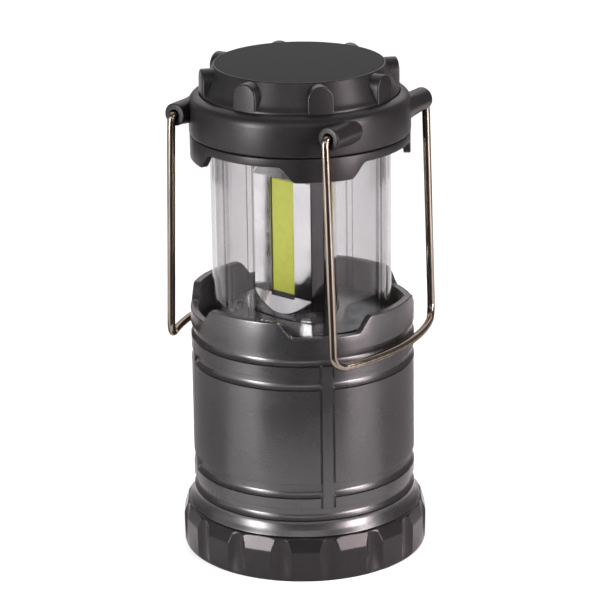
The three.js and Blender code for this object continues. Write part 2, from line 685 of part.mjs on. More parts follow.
function bandShape() {
  const outer = turned([
    [0, BAND_BOTTOM], [BAND_RADIUS, BAND_BOTTOM], [BAND_RADIUS, 160.7], [37.2, 162.1], [36.0, 162.9],
    [BAND_LIP_BORE + 0.3, BAND_TOP], [0, BAND_TOP],
  ]);
  const inner = turned([
    [0, BAND_BOTTOM - 1], [BAND_BORE, BAND_BOTTOM - 1], [BAND_BORE, BAND_LIP_BOTTOM],
    [BAND_LIP_BORE, BAND_LIP_BOTTOM], [BAND_LIP_BORE, BAND_TOP + 1], [0, BAND_TOP + 1],
  ]);
  let band = joined([outer, ...fourCorners(barrelShape())]).subtract(inner);
  for (const hole of fourCorners(barrelHoleShape())) {
    band = band.subtract(hole);
  }
  return band;
}

function crownShape() {
  const roofTop = CROWN_TOP - INLAY_THICKNESS - GAP;
  const outer = turned([
    [0, CROWN_BOTTOM], [CROWN_FLANGE_RADIUS, CROWN_BOTTOM], [CROWN_FLANGE_RADIUS, CROWN_FLANGE_TOP],
    [CROWN_FOOT_RADIUS, CROWN_FLANGE_TOP], [CROWN_FOOT_RADIUS, BAND_TOP + 0.2],
    [CROWN_TOP_RADIUS, CROWN_TOP], [INLAY_RADIUS + GAP, CROWN_TOP], [INLAY_RADIUS + GAP, roofTop],
    [0, roofTop],
  ]);
  const hollow = turned([
    [0, CROWN_BOTTOM - 1], [CROWN_FOOT_RADIUS - CROWN_WALL, CROWN_BOTTOM - 1],
    [CROWN_FOOT_RADIUS - CROWN_WALL, BAND_TOP], [CROWN_TOP_RADIUS - CROWN_WALL, roofTop - 1.3],
    [0, roofTop - 1.3],
  ]);
  const lug = outward(arch(CROWN_LUG_HALF_WIDTH, BAND_TOP + 0.3, CROWN_LUG_TOP), 29.4, CROWN_LUG_FACE);
  const lugs = LUG_AZIMUTHS.map((azimuth) => atAzimuth(lug, azimuth));
  const boss = rod(BOSS_RADIUS, HEAD_PLATE_TOP + GAP, roofTop - 0.5, 12);
  const bore = rod(SCREW_HOLE_RADIUS, HEAD_PLATE_TOP - 1, HEAD_SCREW_TIP + 1, 10);
  let crown = joined([outer.subtract(hollow), ...lugs]);
  for (const azimuth of FACE_AZIMUTHS) {
    crown = crown.add(movedTo(boss, azimuth, HEAD_SCREW_CIRCLE));
    crown = crown.subtract(movedTo(bore, azimuth, HEAD_SCREW_CIRCLE));
  }
  return crown;
}

function inlayShape() {
  return turned([
    [0, CROWN_TOP - INLAY_THICKNESS], [INLAY_RADIUS, CROWN_TOP - INLAY_THICKNESS],
    [INLAY_RADIUS, CROWN_TOP - 0.3], [INLAY_RADIUS - 0.3, CROWN_TOP], [0, CROWN_TOP],
  ]);
}

// The wire's centre line on the +X side: stub, arm, corner, bowed bar, corner, arm, stub.
function bailStations() {
  const bowSagitta = BAIL_BOW_X - BAIL_FOOT_X;
  const bowRadius = (ARM_Y ** 2 + bowSagitta ** 2) / (2 * bowSagitta);
  const bowX = (y) => BAIL_BOW_X - bowRadius + Math.sqrt(bowRadius ** 2 - y ** 2);
  const cornerDrop = BAIL_DROP - BAIL_CORNER_RADIUS;
  const half = [];
  const add = (x, y, drop) => half.push(new THREE.Vector3(x, y, PIVOT_Z - drop));
  add(PIVOT_X, -STUB_END, 0);
  for (let i = 0; i <= 4; i += 1) {
    const angle = (Math.PI / 2) * (i / 4);
    const y = -(ARM_Y - STUB_BEND_RADIUS + STUB_BEND_RADIUS * Math.sin(angle));
    add(PIVOT_X, y, STUB_BEND_RADIUS * (1 - Math.cos(angle)));
  }
  for (const share of [0.35, 0.7]) {
    add(PIVOT_X + (BAIL_FOOT_X - PIVOT_X) * share, -ARM_Y, cornerDrop * share);
  }
  for (let i = 0; i <= 6; i += 1) {
    const angle = (Math.PI / 2) * (i / 6);
    const y = -ARM_Y + BAIL_CORNER_RADIUS * (1 - Math.cos(angle));
    add(bowX(y), y, cornerDrop + BAIL_CORNER_RADIUS * Math.sin(angle));
  }
  for (const y of [-22, -17, -12, -7, -2]) {
    add(bowX(y), y, BAIL_DROP);
  }
  const mirrored = half.map((p) => new THREE.Vector3(p.x, -p.y, p.z)).reverse();
  return [...half, ...mirrored];
}

function bailShape() {
  return wire(bailStations(), WIRE_RADIUS, 8);
}

// ---------------------------------------------------------------- assembly

function batteryCoverGroup() {
  const group = new THREE.Group();
  group.add(part('battery_cover', coverShape(), coverPaint()));
  group.add(part('cover_gasket', gasketShape(), softRubber()));
  group.add(part('bridge_plate', bridgePlateShape(), steel()));
  group.add(station(FACE_AZIMUTHS[2], part('pad_plate', padPlateShape(), steel())));
  FACE_AZIMUTHS.forEach((azimuth, i) => {
    group.add(station(azimuth, part(`cell_spring_${i + 1}`, springShape(), steel())));
  });
  return group;
}

function baseGroup() {
  const group = new THREE.Group();
  group.add(part('base_shell', shellShape(), bodyPaint()));
  group.add(part('battery_holder', holderShape(), innerBlack()));
  group.add(part('driver_board', boardShape(), circuitGreen()));
  group.add(part('reflector_plate', reflectorPlateShape(), chrome()));
  FACE_AZIMUTHS.forEach((azimuth, i) => {
    const cell = part(`cell_${i + 1}`, cellShape(), cellSleeve());
    const contact = part(`cell_contact_${i + 1}`, cellContactShape(), steel());
    group.add(station(azimuth, cell, contact));
  });
  CORNER_AZIMUTHS.forEach((azimuth, i) => {
    const screw = screwShape(HOLDER_BOTTOM - GAP - SCREW_HEAD_HEIGHT, LEDGE_TOP - 1.8, FLANGE_SCREW_CIRCLE);
    group.add(station(azimuth, part(`holder_screw_${i + 1}`, screw, steel())));
  });
  CORNER_AZIMUTHS.slice(0, 2).forEach((azimuth, i) => {
    group.add(station(azimuth, part(`well_contact_${i + 1}`, wellContactShape(), brass())));
  });
  return group;
}

function headGroup() {
  const group = new THREE.Group();
  group.add(part('crown', crownShape(), bodyPaint()));
  group.add(part('top_inlay', inlayShape(), mattePaint()));
  group.add(part('cap_band', bandShape(), bodyPaint()));
  group.add(part('skirt_ring', skirtShape(), bodyPaint()));
  group.add(part('head_plate', headPlateShape(), innerBlack()));
  group.add(part('lens_tube', lensShape(), clearPlastic()));
  group.add(part('pillar_core', coreShape(), chrome()));
  FACE_AZIMUTHS.forEach((azimuth, i) => {
    const reflector = part(`reflector_${i + 1}`, reflectorShape(), chrome());
    const cob = part(`cob_strip_${i + 1}`, cobShape(), phosphor());
    const headBottom = HEAD_PLATE_BOTTOM - GAP - SCREW_HEAD_HEIGHT;
    const screwSolid = screwShape(headBottom, HEAD_SCREW_TIP, HEAD_SCREW_CIRCLE);
    const screw = part(`head_screw_${i + 1}`, screwSolid, steel());
    group.add(station(azimuth, reflector, cob, screw));
  });
  CORNER_AZIMUTHS.slice(0, 2).forEach((azimuth, i) => {
    group.add(station(azimuth, part(`pillar_wiper_${i + 1}`, wiperShape(), brass())));
  });
  return group;
}

function bailGroup() {
  const group = new THREE.Group();
  group.add(part('bail_right', bailShape(), nickelWire()));
  group.add(station(180, part('bail_left', bailShape(), nickelWire())));
  return group;
}

const group = new THREE.Group();
group.add(batteryCoverGroup(), baseGroup(), headGroup(), bailGroup());
export default group;
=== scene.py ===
"""Camping lantern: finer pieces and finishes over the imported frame, on a plain floor.

The lantern's sizes are in millimetres until a mesh is made. The studio's are in metres.
+Z is up, and azimuths are degrees from -Y, turning towards +X.
"""

import math

import bmesh
import bpy
from mathutils import Matrix, Vector


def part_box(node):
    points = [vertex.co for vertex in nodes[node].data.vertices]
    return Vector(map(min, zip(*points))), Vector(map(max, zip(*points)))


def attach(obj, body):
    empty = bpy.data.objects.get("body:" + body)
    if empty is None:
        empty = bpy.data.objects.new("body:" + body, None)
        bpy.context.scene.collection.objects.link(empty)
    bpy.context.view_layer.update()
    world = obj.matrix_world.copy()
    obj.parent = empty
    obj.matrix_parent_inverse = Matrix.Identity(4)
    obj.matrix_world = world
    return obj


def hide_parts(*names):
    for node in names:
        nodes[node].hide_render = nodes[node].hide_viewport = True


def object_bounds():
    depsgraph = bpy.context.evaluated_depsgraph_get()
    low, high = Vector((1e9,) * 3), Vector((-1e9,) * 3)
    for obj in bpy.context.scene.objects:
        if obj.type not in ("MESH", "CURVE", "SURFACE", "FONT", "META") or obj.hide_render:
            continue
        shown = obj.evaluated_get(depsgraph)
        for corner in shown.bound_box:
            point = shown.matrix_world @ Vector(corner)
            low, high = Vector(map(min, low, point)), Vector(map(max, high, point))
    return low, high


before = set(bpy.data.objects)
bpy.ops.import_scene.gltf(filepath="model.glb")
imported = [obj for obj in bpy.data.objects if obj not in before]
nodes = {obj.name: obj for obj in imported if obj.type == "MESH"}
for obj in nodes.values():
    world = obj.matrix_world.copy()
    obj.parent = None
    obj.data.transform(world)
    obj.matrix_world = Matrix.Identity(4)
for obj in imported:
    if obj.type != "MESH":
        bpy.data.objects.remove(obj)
cad_bounds = [list(corner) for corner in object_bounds()]

# ---------------------------------------------------------------- sizes

MM = 0.001
MERGE_DISTANCE = 1e-7
DEGENERATE_LENGTH = 1e-8
FINE_STEP = 1.5
INLAY_STEP = 2.0
LENS_STEP = 2.5


def limits(node):
    """The lowest and highest corner of a CAD node, in millimetres."""
    low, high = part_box(node)
    return low / MM, high / MM


NOTCH_AZIMUTHS = [45, 135, 225, 315]
LUG_AZIMUTHS = [45 * i for i in range(8)]
RIB_AZIMUTHS = [0, 90, 180, 270]
FACE_AZIMUTHS = [-7, 113, 233]

COVER_TOP = limits("battery_cover")[1].z
COVER_FLOOR = 3.0
COVER_FLATS = 16
COVER_FLAT_RADIUS = 42.75
COVER_TOP_RADIUS = 41.2
COVER_CHAMFER = 4.8
COVER_BORE = 39.0
COVER_FIRST_FLAT = 10.5
COVER_CORNER_RADIUS = 44.5
COVER_RECESS_RADIUS = 33.0
COVER_RECESS_DEPTH = 0.8
COVER_FOOT_RADIUS = 42.8
COVER_FOOT_HEIGHT = 10.4
COVER_FOOT_RINGS = [0.5, 1.2, 2.0, 2.8, 3.6, 4.4, 5.2, 6.0, 7.8]
COVER_WALL_START = 9.4
FLUTE_RADIUS = 4.9
FLUTE_CENTRE = 46.4
FLUTE_HALF_ANGLE = 6.6

shell_low, shell_high = limits("base_shell")
FLARE_RADIUS = shell_high.x
BODY_RADIUS = FLARE_RADIUS - 2.05
BODY_TOP = shell_high.z
BODY_BORE = BODY_RADIUS - 2.65
NECK_RADIUS = 38.5
NECK_BORE = 36.0
SEAM_HEIGHT = COVER_TOP + 0.3
FLARE_TOP = 17.5
FLARE_TOP_RADIUS = 39.75
WAIST_HEIGHT = 19.0
WAIST_RADIUS = 39.1
WALL_START = 19.9
COLLAR_START = 84.0
LIP_BORE = 32.4
LIP_OUTER_TOP = 80.6
LIP_INNER_TOP = 80.0
LIP_BOTTOM = 76.0
SHELF_BORE = 31.6
SHELF_OUTER_TOP = 16.4
SHELF_INNER_TOP = 14.9
SHELF_BOTTOM = 11.1
NOTCH_FLOOR = BODY_TOP - 5.4
NOTCH_HALF = 16.5
NOTCH_TOP_HALF = 25.7
GROOVES = [(25.35, 21.2), (34.35, 29.6), (72.7, 68.8), (81.6, 77.4)]
BRIDGED_GROOVES = GROOVES[1:3]
GROOVE_DEPTH = 1.15
GROOVE_FLANK = 1.9
GROOVE_EDGE = 0.1
GROOVE_EDGE_DEPTH = 0.08
LINE_DEPTH = 0.5
LINE_HEIGHT = 0.6
STRIP_HALF = 1.8
STRIP_LINE_WIDTH = 0.8
STRIP_LINE_DEPTH = 0.5

skirt_low, skirt_high = limits("skirt_ring")
SKIRT_RADIUS = skirt_high.x
SKIRT_TOP = skirt_high.z
SKIRT_BOTTOM = SKIRT_TOP - 3.0
TAB_BOTTOM = skirt_low.z
TAB_HALF = 14.4
TAB_TOP_HALF = 23.8
SKIRT_BORE = 32.3
TAB_INNER_RADIUS = 35.2
SKIRT_REBATE = 1.4

lens_low, lens_high = limits("lens_tube")
LENS_RADIUS = 31.0
LENS_BORE = 29.3
LENS_FLANGE_RADIUS = 34.0
LENS_FLANGE_HEIGHT = 1.2
LENS_FOOT_RADIUS = 34.5
LENS_FOOT_HEIGHT = 3.7
RIB_HALF_WIDTH = 1.2
RIB_HEIGHT = 0.9

plate_low, plate_high = limits("reflector_plate")
reflector_low, reflector_high = limits("reflector_1")
PILLAR_APOTHEM = 10.2
PILLAR_HALF_WIDTH = 12.9
PILLAR_BULGE = 1.8
REFLECTOR_BACK = 7.3
REFLECTOR_TAPER = 2.4
ALCOVE_BOTTOM = reflector_low.z + 8.0
ALCOVE_TOP = reflector_high.z - 14.9
ALCOVE_LIP = 7.6
WELL_CLEARANCE = 0.45

cob_low, cob_high = limits("cob_strip_1")
COB_HALF_WIDTH = 4.9
POCKET_FLOOR = 8.65
POCKET_BOTTOM = cob_low.z - 1.5
COB_BACK = POCKET_FLOOR + 0.3

band_low, band_high = limits("cap_band")
BAND_RADIUS = 37.9
BAND_BORE = 35.9
BAND_LIP_BORE = 34.2
BAND_LIP_HEIGHT = 2.1
BAND_SHOULDER_DROP = 2.6
BAND_TOP_RADIUS = 36.3
BAND_TOP_DROP = 0.8
BARREL_RADIUS = 3.9
BARREL_END = 30.6
BARREL_START = 12.0
BARREL_EDGE = 0.5
BARREL_SIDES = 48
BARREL_HOLE_RADIUS = 1.75
BARREL_HOLE_DEPTH = 6.2
WEB_RADIUS = 2.6
WEB_DROP = 2.3
WEB_END_DROP = 1.3
WEB_TAPER_START = 20.5

crown_low, crown_high = limits("crown")
CROWN_FOOT_RADIUS = 33.9
CROWN_TOP_RADIUS = 29.2
CROWN_FLANGE_RADIUS = 35.6
CROWN_FLANGE_HEIGHT = 1.9
CROWN_BEND_RADIUS = 32.6
CROWN_BEND_RISE = 1.8
CROWN_ROOF = 1.3
CROWN_WALL = 2.0
LUG_HALF_WIDTH = 4.5
LUG_FACE = 34.0
LUG_INNER = 29.4
LUG_EDGE = 0.6
LUG_TOP_DROP = 0.4

inlay_low, inlay_high = limits("top_inlay")
INLAY_SEAM_COVER = 0.22

bail_low, bail_high = limits("bail_right")
WIRE_RADIUS = 1.4
PIVOT_X = bail_low.x + WIRE_RADIUS
PIVOT_Z = bail_high.z - WIRE_RADIUS
ARM_Y = bail_high.y - WIRE_RADIUS
STUB_END = 25.0
STUB_BEND = 1.8
BAIL_CORNER = 5.0
BAIL_DROP = PIVOT_Z - bail_low.z - WIRE_RADIUS
BAIL_FOOT_X = 33.0
BAIL_BOW_X = bail_high.x - WIRE_RADIUS

CAMERA_AZIMUTH = 33.0
CAMERA_DISTANCE = 927.8
CAMERA_HEIGHT = 402.87
CAMERA_SIDESTEP = -0.78
CAMERA_PITCH = 18.757
CAMERA_ROLL = -0.767
CAMERA_LENS = 169.1
CAMERA_SENSOR = 36.0

FLOOR_HALF = 12.0
CARD_HEIGHT = 0.002
CARD_REACH = 1.6
CARD_END = 150
WHITE = (1.0, 1.0, 1.0)
ROSE = (1.0, 0.90, 0.92)
PALE_ROSE = (1.0, 0.94, 0.95)


# ---------------------------------------------------------------- shapes


def smooth_step(value, start, end):
    share = min(max((value - start) / (end - start), 0.0), 1.0)
    return share * share * (3 - 2 * share)


def smooth_min(a, b, blend):
    """The smaller of two lengths, with the corner between them rounded off."""
    overlap = max(blend - abs(a - b), 0.0) / blend
    return min(a, b) - overlap * overlap * blend / 4


def from_nearest(azimuth, centres):
    """Signed degrees from the nearest of some azimuths."""
    return min(((azimuth - c + 180) % 360 - 180 for c in centres), key=abs)


def polar(azimuth, radius, height):
    angle = math.radians(azimuth)
    return (radius * math.sin(angle), -radius * math.cos(angle), height)


def spread(step, centres=(), offsets=()):
    """Azimuths every step degrees, with extra ones either side of some centres."""
    azimuths = {round(i * step, 3) for i in range(round(360 / step))}
    for centre in centres:
        for offset in offsets:
            azimuths.add(round((centre + offset) % 360, 3))
            azimuths.add(round((centre - offset) % 360, 3))
    return sorted(azimuths)


def series(start, stop, count):
    return [start + (stop - start) * i / (count - 1) for i in range(count)]


def filleted(outline, steps=4):
    """An outline of (radius, height, cut) corners, with each corner rounded from cut away on both sides."""
    points = []
    for i, (radius, height, cut) in enumerate(outline):
        corner = Vector((radius, height))
        before = Vector(outline[i - 1][:2]) - corner
        after = Vector(outline[(i + 1) % len(outline)][:2]) - corner
        if cut == 0:
            points.append((radius, height))
            continue
        start = corner + before * min(cut / max(before.length, cut), 0.48)
        end = corner + after * min(cut / max(after.length, cut), 0.48)
        for k in range(steps + 1):
            share = k / steps
            point = start.lerp(corner, share).lerp(corner.lerp(end, share), share)
            points.append((point.x, point.y))
    return points


def around(section_at, azimuths, closed=True):
    """A full turn of a section of (radius, height) points that may change with azimuth."""
    columns = [section_at(azimuth) for azimuth in azimuths]
    count = len(columns[0])
    vertices = [polar(a, r, z) for a, column in zip(azimuths, columns) for r, z in column]
    faces = []
    for i in range(len(columns)):
        j = (i + 1) % len(columns)
        for k in range(count if closed else count - 1):
            n = (k + 1) % count
            faces.append((i * count + k, j * count + k, j * count + n, i * count + n))
    return vertices, faces


def loft(loops, ends="capped"):
    """Closed loops of points joined in order. The ends are capped, or joined to each other."""
    count = len(loops[0])
    vertices = [point for loop in loops for point in loop]
    faces = []
    for i in range(len(loops) if ends == "joined" else len(loops) - 1):
        j = (i + 1) % len(loops)
        for k in range(count):
            n = (k + 1) % count
            faces.append((i * count + k, j * count + k, j * count + n, i * count + n))
    if ends == "capped":
        faces.append(tuple(range(count)))
        faces.append(tuple(range((len(loops) - 1) * count, len(loops) * count)))
    return vertices, faces


def moved(shape, matrix):
    vertices, faces = shape
    return [tuple(matrix @ Vector(v)) for v in vertices], faces


def at_azimuth(shape, azimuth):
    return moved(shape, Matrix.Rotation(math.radians(azimuth), 4, "Z"))


def combined(shapes):
    vertices = []
    faces = []
    for more_vertices, more_faces in shapes:
        start = len(vertices)
        vertices += more_vertices
        faces += [tuple(start + i for i in face) for face in more_faces]
    return vertices, faces


def sweep(points, radius, sides):
    """A round wire along a line of points."""
    line = [Vector(p) for p in points]
    loops = []
    side = None
    for i, point in enumerate(line):
        along = (line[min(i + 1, len(line) - 1)] - line[max(i - 1, 0)]).normalized()
        if side is None:
            side = along.orthogonal().normalized()
        side = (side - along * side.dot(along)).normalized()
        other = along.cross(side)
        loop = []
        for k in range(sides):
            angle = 2 * math.pi * k / sides
            loop.append(tuple(point + (side * math.cos(angle) + other * math.sin(angle)) * radius))
        loops.append(loop)
    return loft(loops)


def make_piece(name, shape, body, material, stands_for=(), crease=32):
    vertices, faces = shape
    mesh = bpy.data.meshes.new(name)
    mesh.from_pydata([Vector(v) * MM for v in vertices], [], faces)
    clean = bmesh.new()
    clean.from_mesh(mesh)
    bmesh.ops.remove_doubles(clean, verts=clean.verts, dist=MERGE_DISTANCE)
    bmesh.ops.dissolve_degenerate(clean, dist=DEGENERATE_LENGTH, edges=clean.edges)
    bmesh.ops.recalc_face_normals(clean, faces=clean.faces)
    clean.to_mesh(mesh)
    clean.free()
    mesh.shade_smooth()
    mesh.set_sharp_from_angle(angle=math.radians(crease))
    mesh.materials.append(material)
    obj = bpy.data.objects.new(name, mesh)
    bpy.context.scene.collection.objects.link(obj)
    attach(obj, body)
    if stands_for:
        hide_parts(*stands_for)
    return obj


# ---------------------------------------------------------------- finishes


class Finish:
    """A material with one Principled shader and short ways to add texture to it."""

    def __init__(self, name, metallic=0.0, roughness=0.5):
        self.material = bpy.data.materials.new(name)
        self.material.use_nodes = True
        self.tree = self.material.node_tree
        self.tree.nodes.clear()
        self.output = self.tree.nodes.new("ShaderNodeOutputMaterial")
        self.shader = self.tree.nodes.new("ShaderNodeBsdfPrincipled")
        self.shader.inputs["Roughness"].default_value = roughness
        self.shader.inputs["Metallic"].default_value = metallic
        self.tree.links.new(self.shader.outputs[0], self.output.inputs["Surface"])
        self.place = self.tree.nodes.new("ShaderNodeTexCoord")

    def link(self, source, target):
        self.tree.links.new(source, target)

    def noise(self, scale, detail=2.0, stretch=(1, 1, 1)):
        mapping = self.tree.nodes.new("ShaderNodeMapping")
        mapping.inputs["Scale"].default_value = stretch
        self.link(self.place.outputs["Object"], mapping.inputs["Vector"])
        noise = self.tree.nodes.new("ShaderNodeTexNoise")
        noise.inputs["Scale"].default_value = scale
        noise.inputs["Detail"].default_value = detail
        self.link(mapping.outputs["Vector"], noise.inputs["Vector"])
        return noise.outputs["Fac"]

    def ramp(self, source, stops):
        ramp = self.tree.nodes.new("ShaderNodeValToRGB")
        elements = ramp.color_ramp.elements
        while len(elements) < len(stops):
            elements.new(0.5)
        for element, (position, colour) in zip(elements, stops):
            element.position = position
            element.color = (*colour, 1.0)
        self.link(source, ramp.inputs["Fac"])
        return ramp.outputs["Color"]

    def colour(self, source):
        self.link(source, self.shader.inputs["Base Color"])

    def roughness(self, source, low, high):
        spread_out = self.tree.nodes.new("ShaderNodeMapRange")
        spread_out.inputs["From Min"].default_value = 0.3
        spread_out.inputs["From Max"].default_value = 0.7
        spread_out.inputs["To Min"].default_value = low
        spread_out.inputs["To Max"].default_value = high
        self.link(source, spread_out.inputs["Value"])
        self.link(spread_out.outputs["Result"], self.shader.inputs["Roughness"])

    def bump(self, source, height_mm, strength=1.0):
        bump = self.tree.nodes.new("ShaderNodeBump")
        bump.inputs["Strength"].default_value = strength
        bump.inputs["Distance"].default_value = height_mm * MM
        self.link(source, bump.inputs["Height"])
        self.link(bump.outputs["Normal"], self.shader.inputs["Normal"])


def body_paint():
    """Satin dark grey with a fine metal fleck and a faint orange peel."""
    finish = Finish("body_paint", metallic=0.9)
    fleck = finish.noise(2600, 3)
    finish.colour(finish.ramp(fleck, [(0.35, (0.051, 0.050, 0.051)), (0.65, (0.067, 0.065, 0.067))]))
    finish.roughness(finish.noise(60, 3), 0.25, 0.31)
    finish.bump(finish.noise(900, 2), 0.006, 0.5)
    finish.shader.inputs["Specular Tint"].default_value = (1.0, 0.94, 0.95, 1.0)
    return finish.material


def collar_inside_shaded():
    """The shell's inward-facing walls: bare moulding that the paint only dusts, in a dark colour that is
    partly painted shade inside the collar.
    """
    finish = Finish("collar_inside_shaded")
    dust = finish.noise(130, 4)
    finish.colour(finish.ramp(dust, [(0.35, (0.030, 0.031, 0.030)), (0.65, (0.085, 0.087, 0.084))]))
    finish.roughness(finish.noise(60, 3), 0.40, 0.55)
    finish.bump(finish.noise(700, 2), 0.01, 0.5)
    return finish.material


def cap_paint_shaded():
    """The head's paint, coloured a shade darker than the body's: painted shade for the darker surroundings
    that the head mirrors.
    """
    finish = Finish("cap_paint_shaded", metallic=0.5)
    fleck = finish.noise(2600, 3)
    finish.colour(finish.ramp(fleck, [(0.35, (0.0105, 0.0100, 0.0103)), (0.65, (0.0165, 0.0158, 0.0162))]))
    finish.roughness(finish.noise(60, 3), 0.30, 0.36)
    finish.shader.inputs["Specular IOR Level"].default_value = 0.17
    finish.bump(finish.noise(900, 2), 0.006, 0.5)
    finish.shader.inputs["Specular Tint"].default_value = (1.0, 0.94, 0.95, 1.0)
    return finish.material


def cover_paint_shaded():
    """The foot's glossier grey, coloured darker: partly its own darker paint, partly painted shade from the
    shaded floor round the foot that it mirrors.
    """
    finish = Finish("cover_paint_shaded", metallic=0.5)
    fleck = finish.noise(2200, 3)
    finish.colour(finish.ramp(fleck, [(0.35, (0.0078, 0.0072, 0.0075)), (0.65, (0.0122, 0.0115, 0.0119))]))
    finish.shader.inputs["Specular IOR Level"].default_value = 0.31
    finish.roughness(finish.noise(70, 3), 0.22, 0.29)
    finish.bump(finish.noise(700, 2), 0.006, 0.5)
    finish.shader.inputs["Specular Tint"].default_value = (1.0, 0.92, 0.93, 1.0)
    return finish.material


def matte_grey():
    """The top disc, with a fine moulded grain."""
    finish = Finish("matte_grey", roughness=0.8)
    grain = finish.noise(3200, 2)
    finish.colour(finish.ramp(grain, [(0.3, (0.008, 0.008, 0.0084)), (0.7, (0.013, 0.0126, 0.013))]))
    finish.bump(grain, 0.03, 0.7)
    finish.shader.inputs["Specular IOR Level"].default_value = 0.22
    return finish.material


def inner_black():
    finish = Finish("inner_black")
    cloud = finish.noise(300, 4)
    finish.colour(finish.ramp(cloud, [(0.3, (0.012, 0.012, 0.013)), (0.7, (0.02, 0.02, 0.021))]))
    finish.roughness(cloud, 0.48, 0.62)
    finish.bump(finish.noise(2500, 2), 0.01, 0.5)
    return finish.material


def plating(name, dark, light, haze, ripple):
    """Vacuum-plated plastic. Haze sets its roughness, and ripple its waviness in millimetres."""
    finish = Finish(name, metallic=1.0)
    shades = [(0.3, (dark, dark, dark * 1.01)), (0.7, (light, light, light))]
    finish.colour(finish.ramp(finish.noise(140, 3), shades))
    finish.roughness(finish.noise(260, 4), haze, haze * 2.2)
    finish.bump(finish.noise(110, 1), ripple, 0.35)
    return finish.material


def bright_plating():
    return plating("bright_plating", 0.74, 0.84, 0.07, 0.05)


def core_plating():
    """The pillar corners, which are plated harder and glossier than the faces."""
    return plating("core_plating", 0.60, 0.72, 0.02, 0.05)


def well_plating_shaded():
    """The floor of the well: hazy plating, coloured dark as painted shade from the collar around it."""
    return plating("well_plating_shaded", 0.09, 0.17, 0.12, 0.02)


def bail_wire():
    """Dark nickel plating with fine lines drawn along the wire."""
    finish = Finish("bail_wire", metallic=1.0)
    lines = finish.noise(900, 3, (1, 1, 0.04))
    finish.colour(finish.ramp(lines, [(0.3, (0.13, 0.107, 0.088)), (0.7, (0.20, 0.170, 0.142))]))
    finish.roughness(lines, 0.10, 0.20)
    finish.shader.inputs["Specular Tint"].default_value = (1.0, 0.86, 0.80, 1.0)
    return finish.material


def steel(name, dark, light):
    finish = Finish(name, metallic=1.0)
    brushed = finish.noise(1500, 3, (1, 0.1, 1))
    finish.colour(finish.ramp(brushed, [(0.3, dark), (0.7, light)]))
    finish.roughness(brushed, 0.24, 0.38)
    return finish.material


def plated_steel():
    return steel("plated_steel", (0.42, 0.42, 0.44), (0.56, 0.56, 0.58))


def contact_brass():
    return steel("contact_brass", (0.52, 0.36, 0.13), (0.66, 0.48, 0.2))


def phosphor():
    """Cast yellow gel with a faint cloud and a slightly uneven surface."""
    finish = Finish("phosphor", roughness=0.5)
    cloud = finish.noise(400, 3)
    finish.colour(finish.ramp(cloud, [(0.3, (0.37, 0.40, 0.045)), (0.7, (0.425, 0.455, 0.068))]))
    finish.bump(finish.noise(900, 2), 0.03, 0.5)
    finish.shader.inputs["Subsurface Weight"].default_value = 0.2
    finish.shader.inputs["Subsurface Radius"].default_value = (0.001, 0.001, 0.0003)
    return finish.material


def circuit_board():
    finish = Finish("circuit_board", roughness=0.45)
    tracks = finish.tree.nodes.new("ShaderNodeTexBrick")
    tracks.inputs["Scale"].default_value = 260
    tracks.inputs["Color1"].default_value = (0.012, 0.09, 0.035, 1)
    tracks.inputs["Color2"].default_value = (0.015, 0.12, 0.045, 1)
    tracks.inputs["Mortar"].default_value = (0.03, 0.2, 0.08, 1)
    tracks.inputs["Mortar Size"].default_value = 0.03
    finish.link(finish.place.outputs["Object"], tracks.inputs["Vector"])
    finish.colour(tracks.outputs["Color"])
    finish.bump(finish.noise(1200, 2), 0.02, 0.4)
    return finish.material


def cell_sleeve():
    """Plain sleeve in two colours, with bare metal at both ends."""
    finish = Finish("cell_sleeve", roughness=0.32)
    split = finish.tree.nodes.new("ShaderNodeSeparateXYZ")
    finish.link(finish.place.outputs["Generated"], split.inputs["Vector"])
    finish.colour(finish.ramp(split.outputs["Z"], [
        (0.0, (0.55, 0.55, 0.56)), (0.02, (0.02, 0.045, 0.10)), (0.72, (0.025, 0.06, 0.13)),
        (0.725, (0.5, 0.36, 0.18)), (0.965, (0.55, 0.40, 0.2)), (0.975, (0.6, 0.6, 0.62)),
    ]))
    finish.bump(finish.noise(500, 2), 0.01, 0.4)
    return finish.material


def seal_rubber():
    finish = Finish("seal_rubber", roughness=0.85)
    cloud = finish.noise(800, 3)
    finish.colour(finish.ramp(cloud, [(0.3, (0.008, 0.008, 0.008)), (0.7, (0.016, 0.016, 0.016))]))
    finish.bump(cloud, 0.02, 0.6)
    return finish.material


def clear_plastic(name, tint):
    """Clear plastic: a tinted see-through wall with a sharp gloss that grows at the edges."""
    finish = Finish(name, metallic=1.0)
    finish.colour(finish.ramp(finish.noise(90, 3), [(0.3, (0.78, 0.76, 0.77)), (0.7, (0.84, 0.82, 0.83))]))
    finish.roughness(finish.noise(180, 3), 0.04, 0.09)
    see_through = finish.tree.nodes.new("ShaderNodeBsdfTransparent")
    edge = finish.tree.nodes.new("ShaderNodeLayerWeight")
    thicker = [tuple(part * share for part in tint) for share in (1.0, 0.95, 0.45)]
    wall = finish.ramp(edge.outputs["Facing"], list(zip((0.0, 0.7, 1.0), thicker)))
    finish.link(wall, see_through.inputs["Color"])
    grazing = finish.tree.nodes.new("ShaderNodeMath")
    grazing.operation = "POWER"
    grazing.inputs[1].default_value = 4.0
    gloss = finish.tree.nodes.new("ShaderNodeMath")
    gloss.operation = "MULTIPLY_ADD"
    gloss.inputs[1].default_value = 0.75
    gloss.inputs[2].default_value = 0.02
    mix = finish.tree.nodes.new("ShaderNodeMixShader")
    finish.link(edge.outputs["Facing"], grazing.inputs[0])
    finish.link(grazing.outputs[0], gloss.inputs[0])
    finish.link(gloss.outputs[0], mix.inputs[0])
    finish.link(see_through.outputs[0], mix.inputs[1])
    finish.link(finish.shader.outputs[0], mix.inputs[2])
    finish.link(mix.outputs[0], finish.output.inputs["Surface"])
    return finish.material


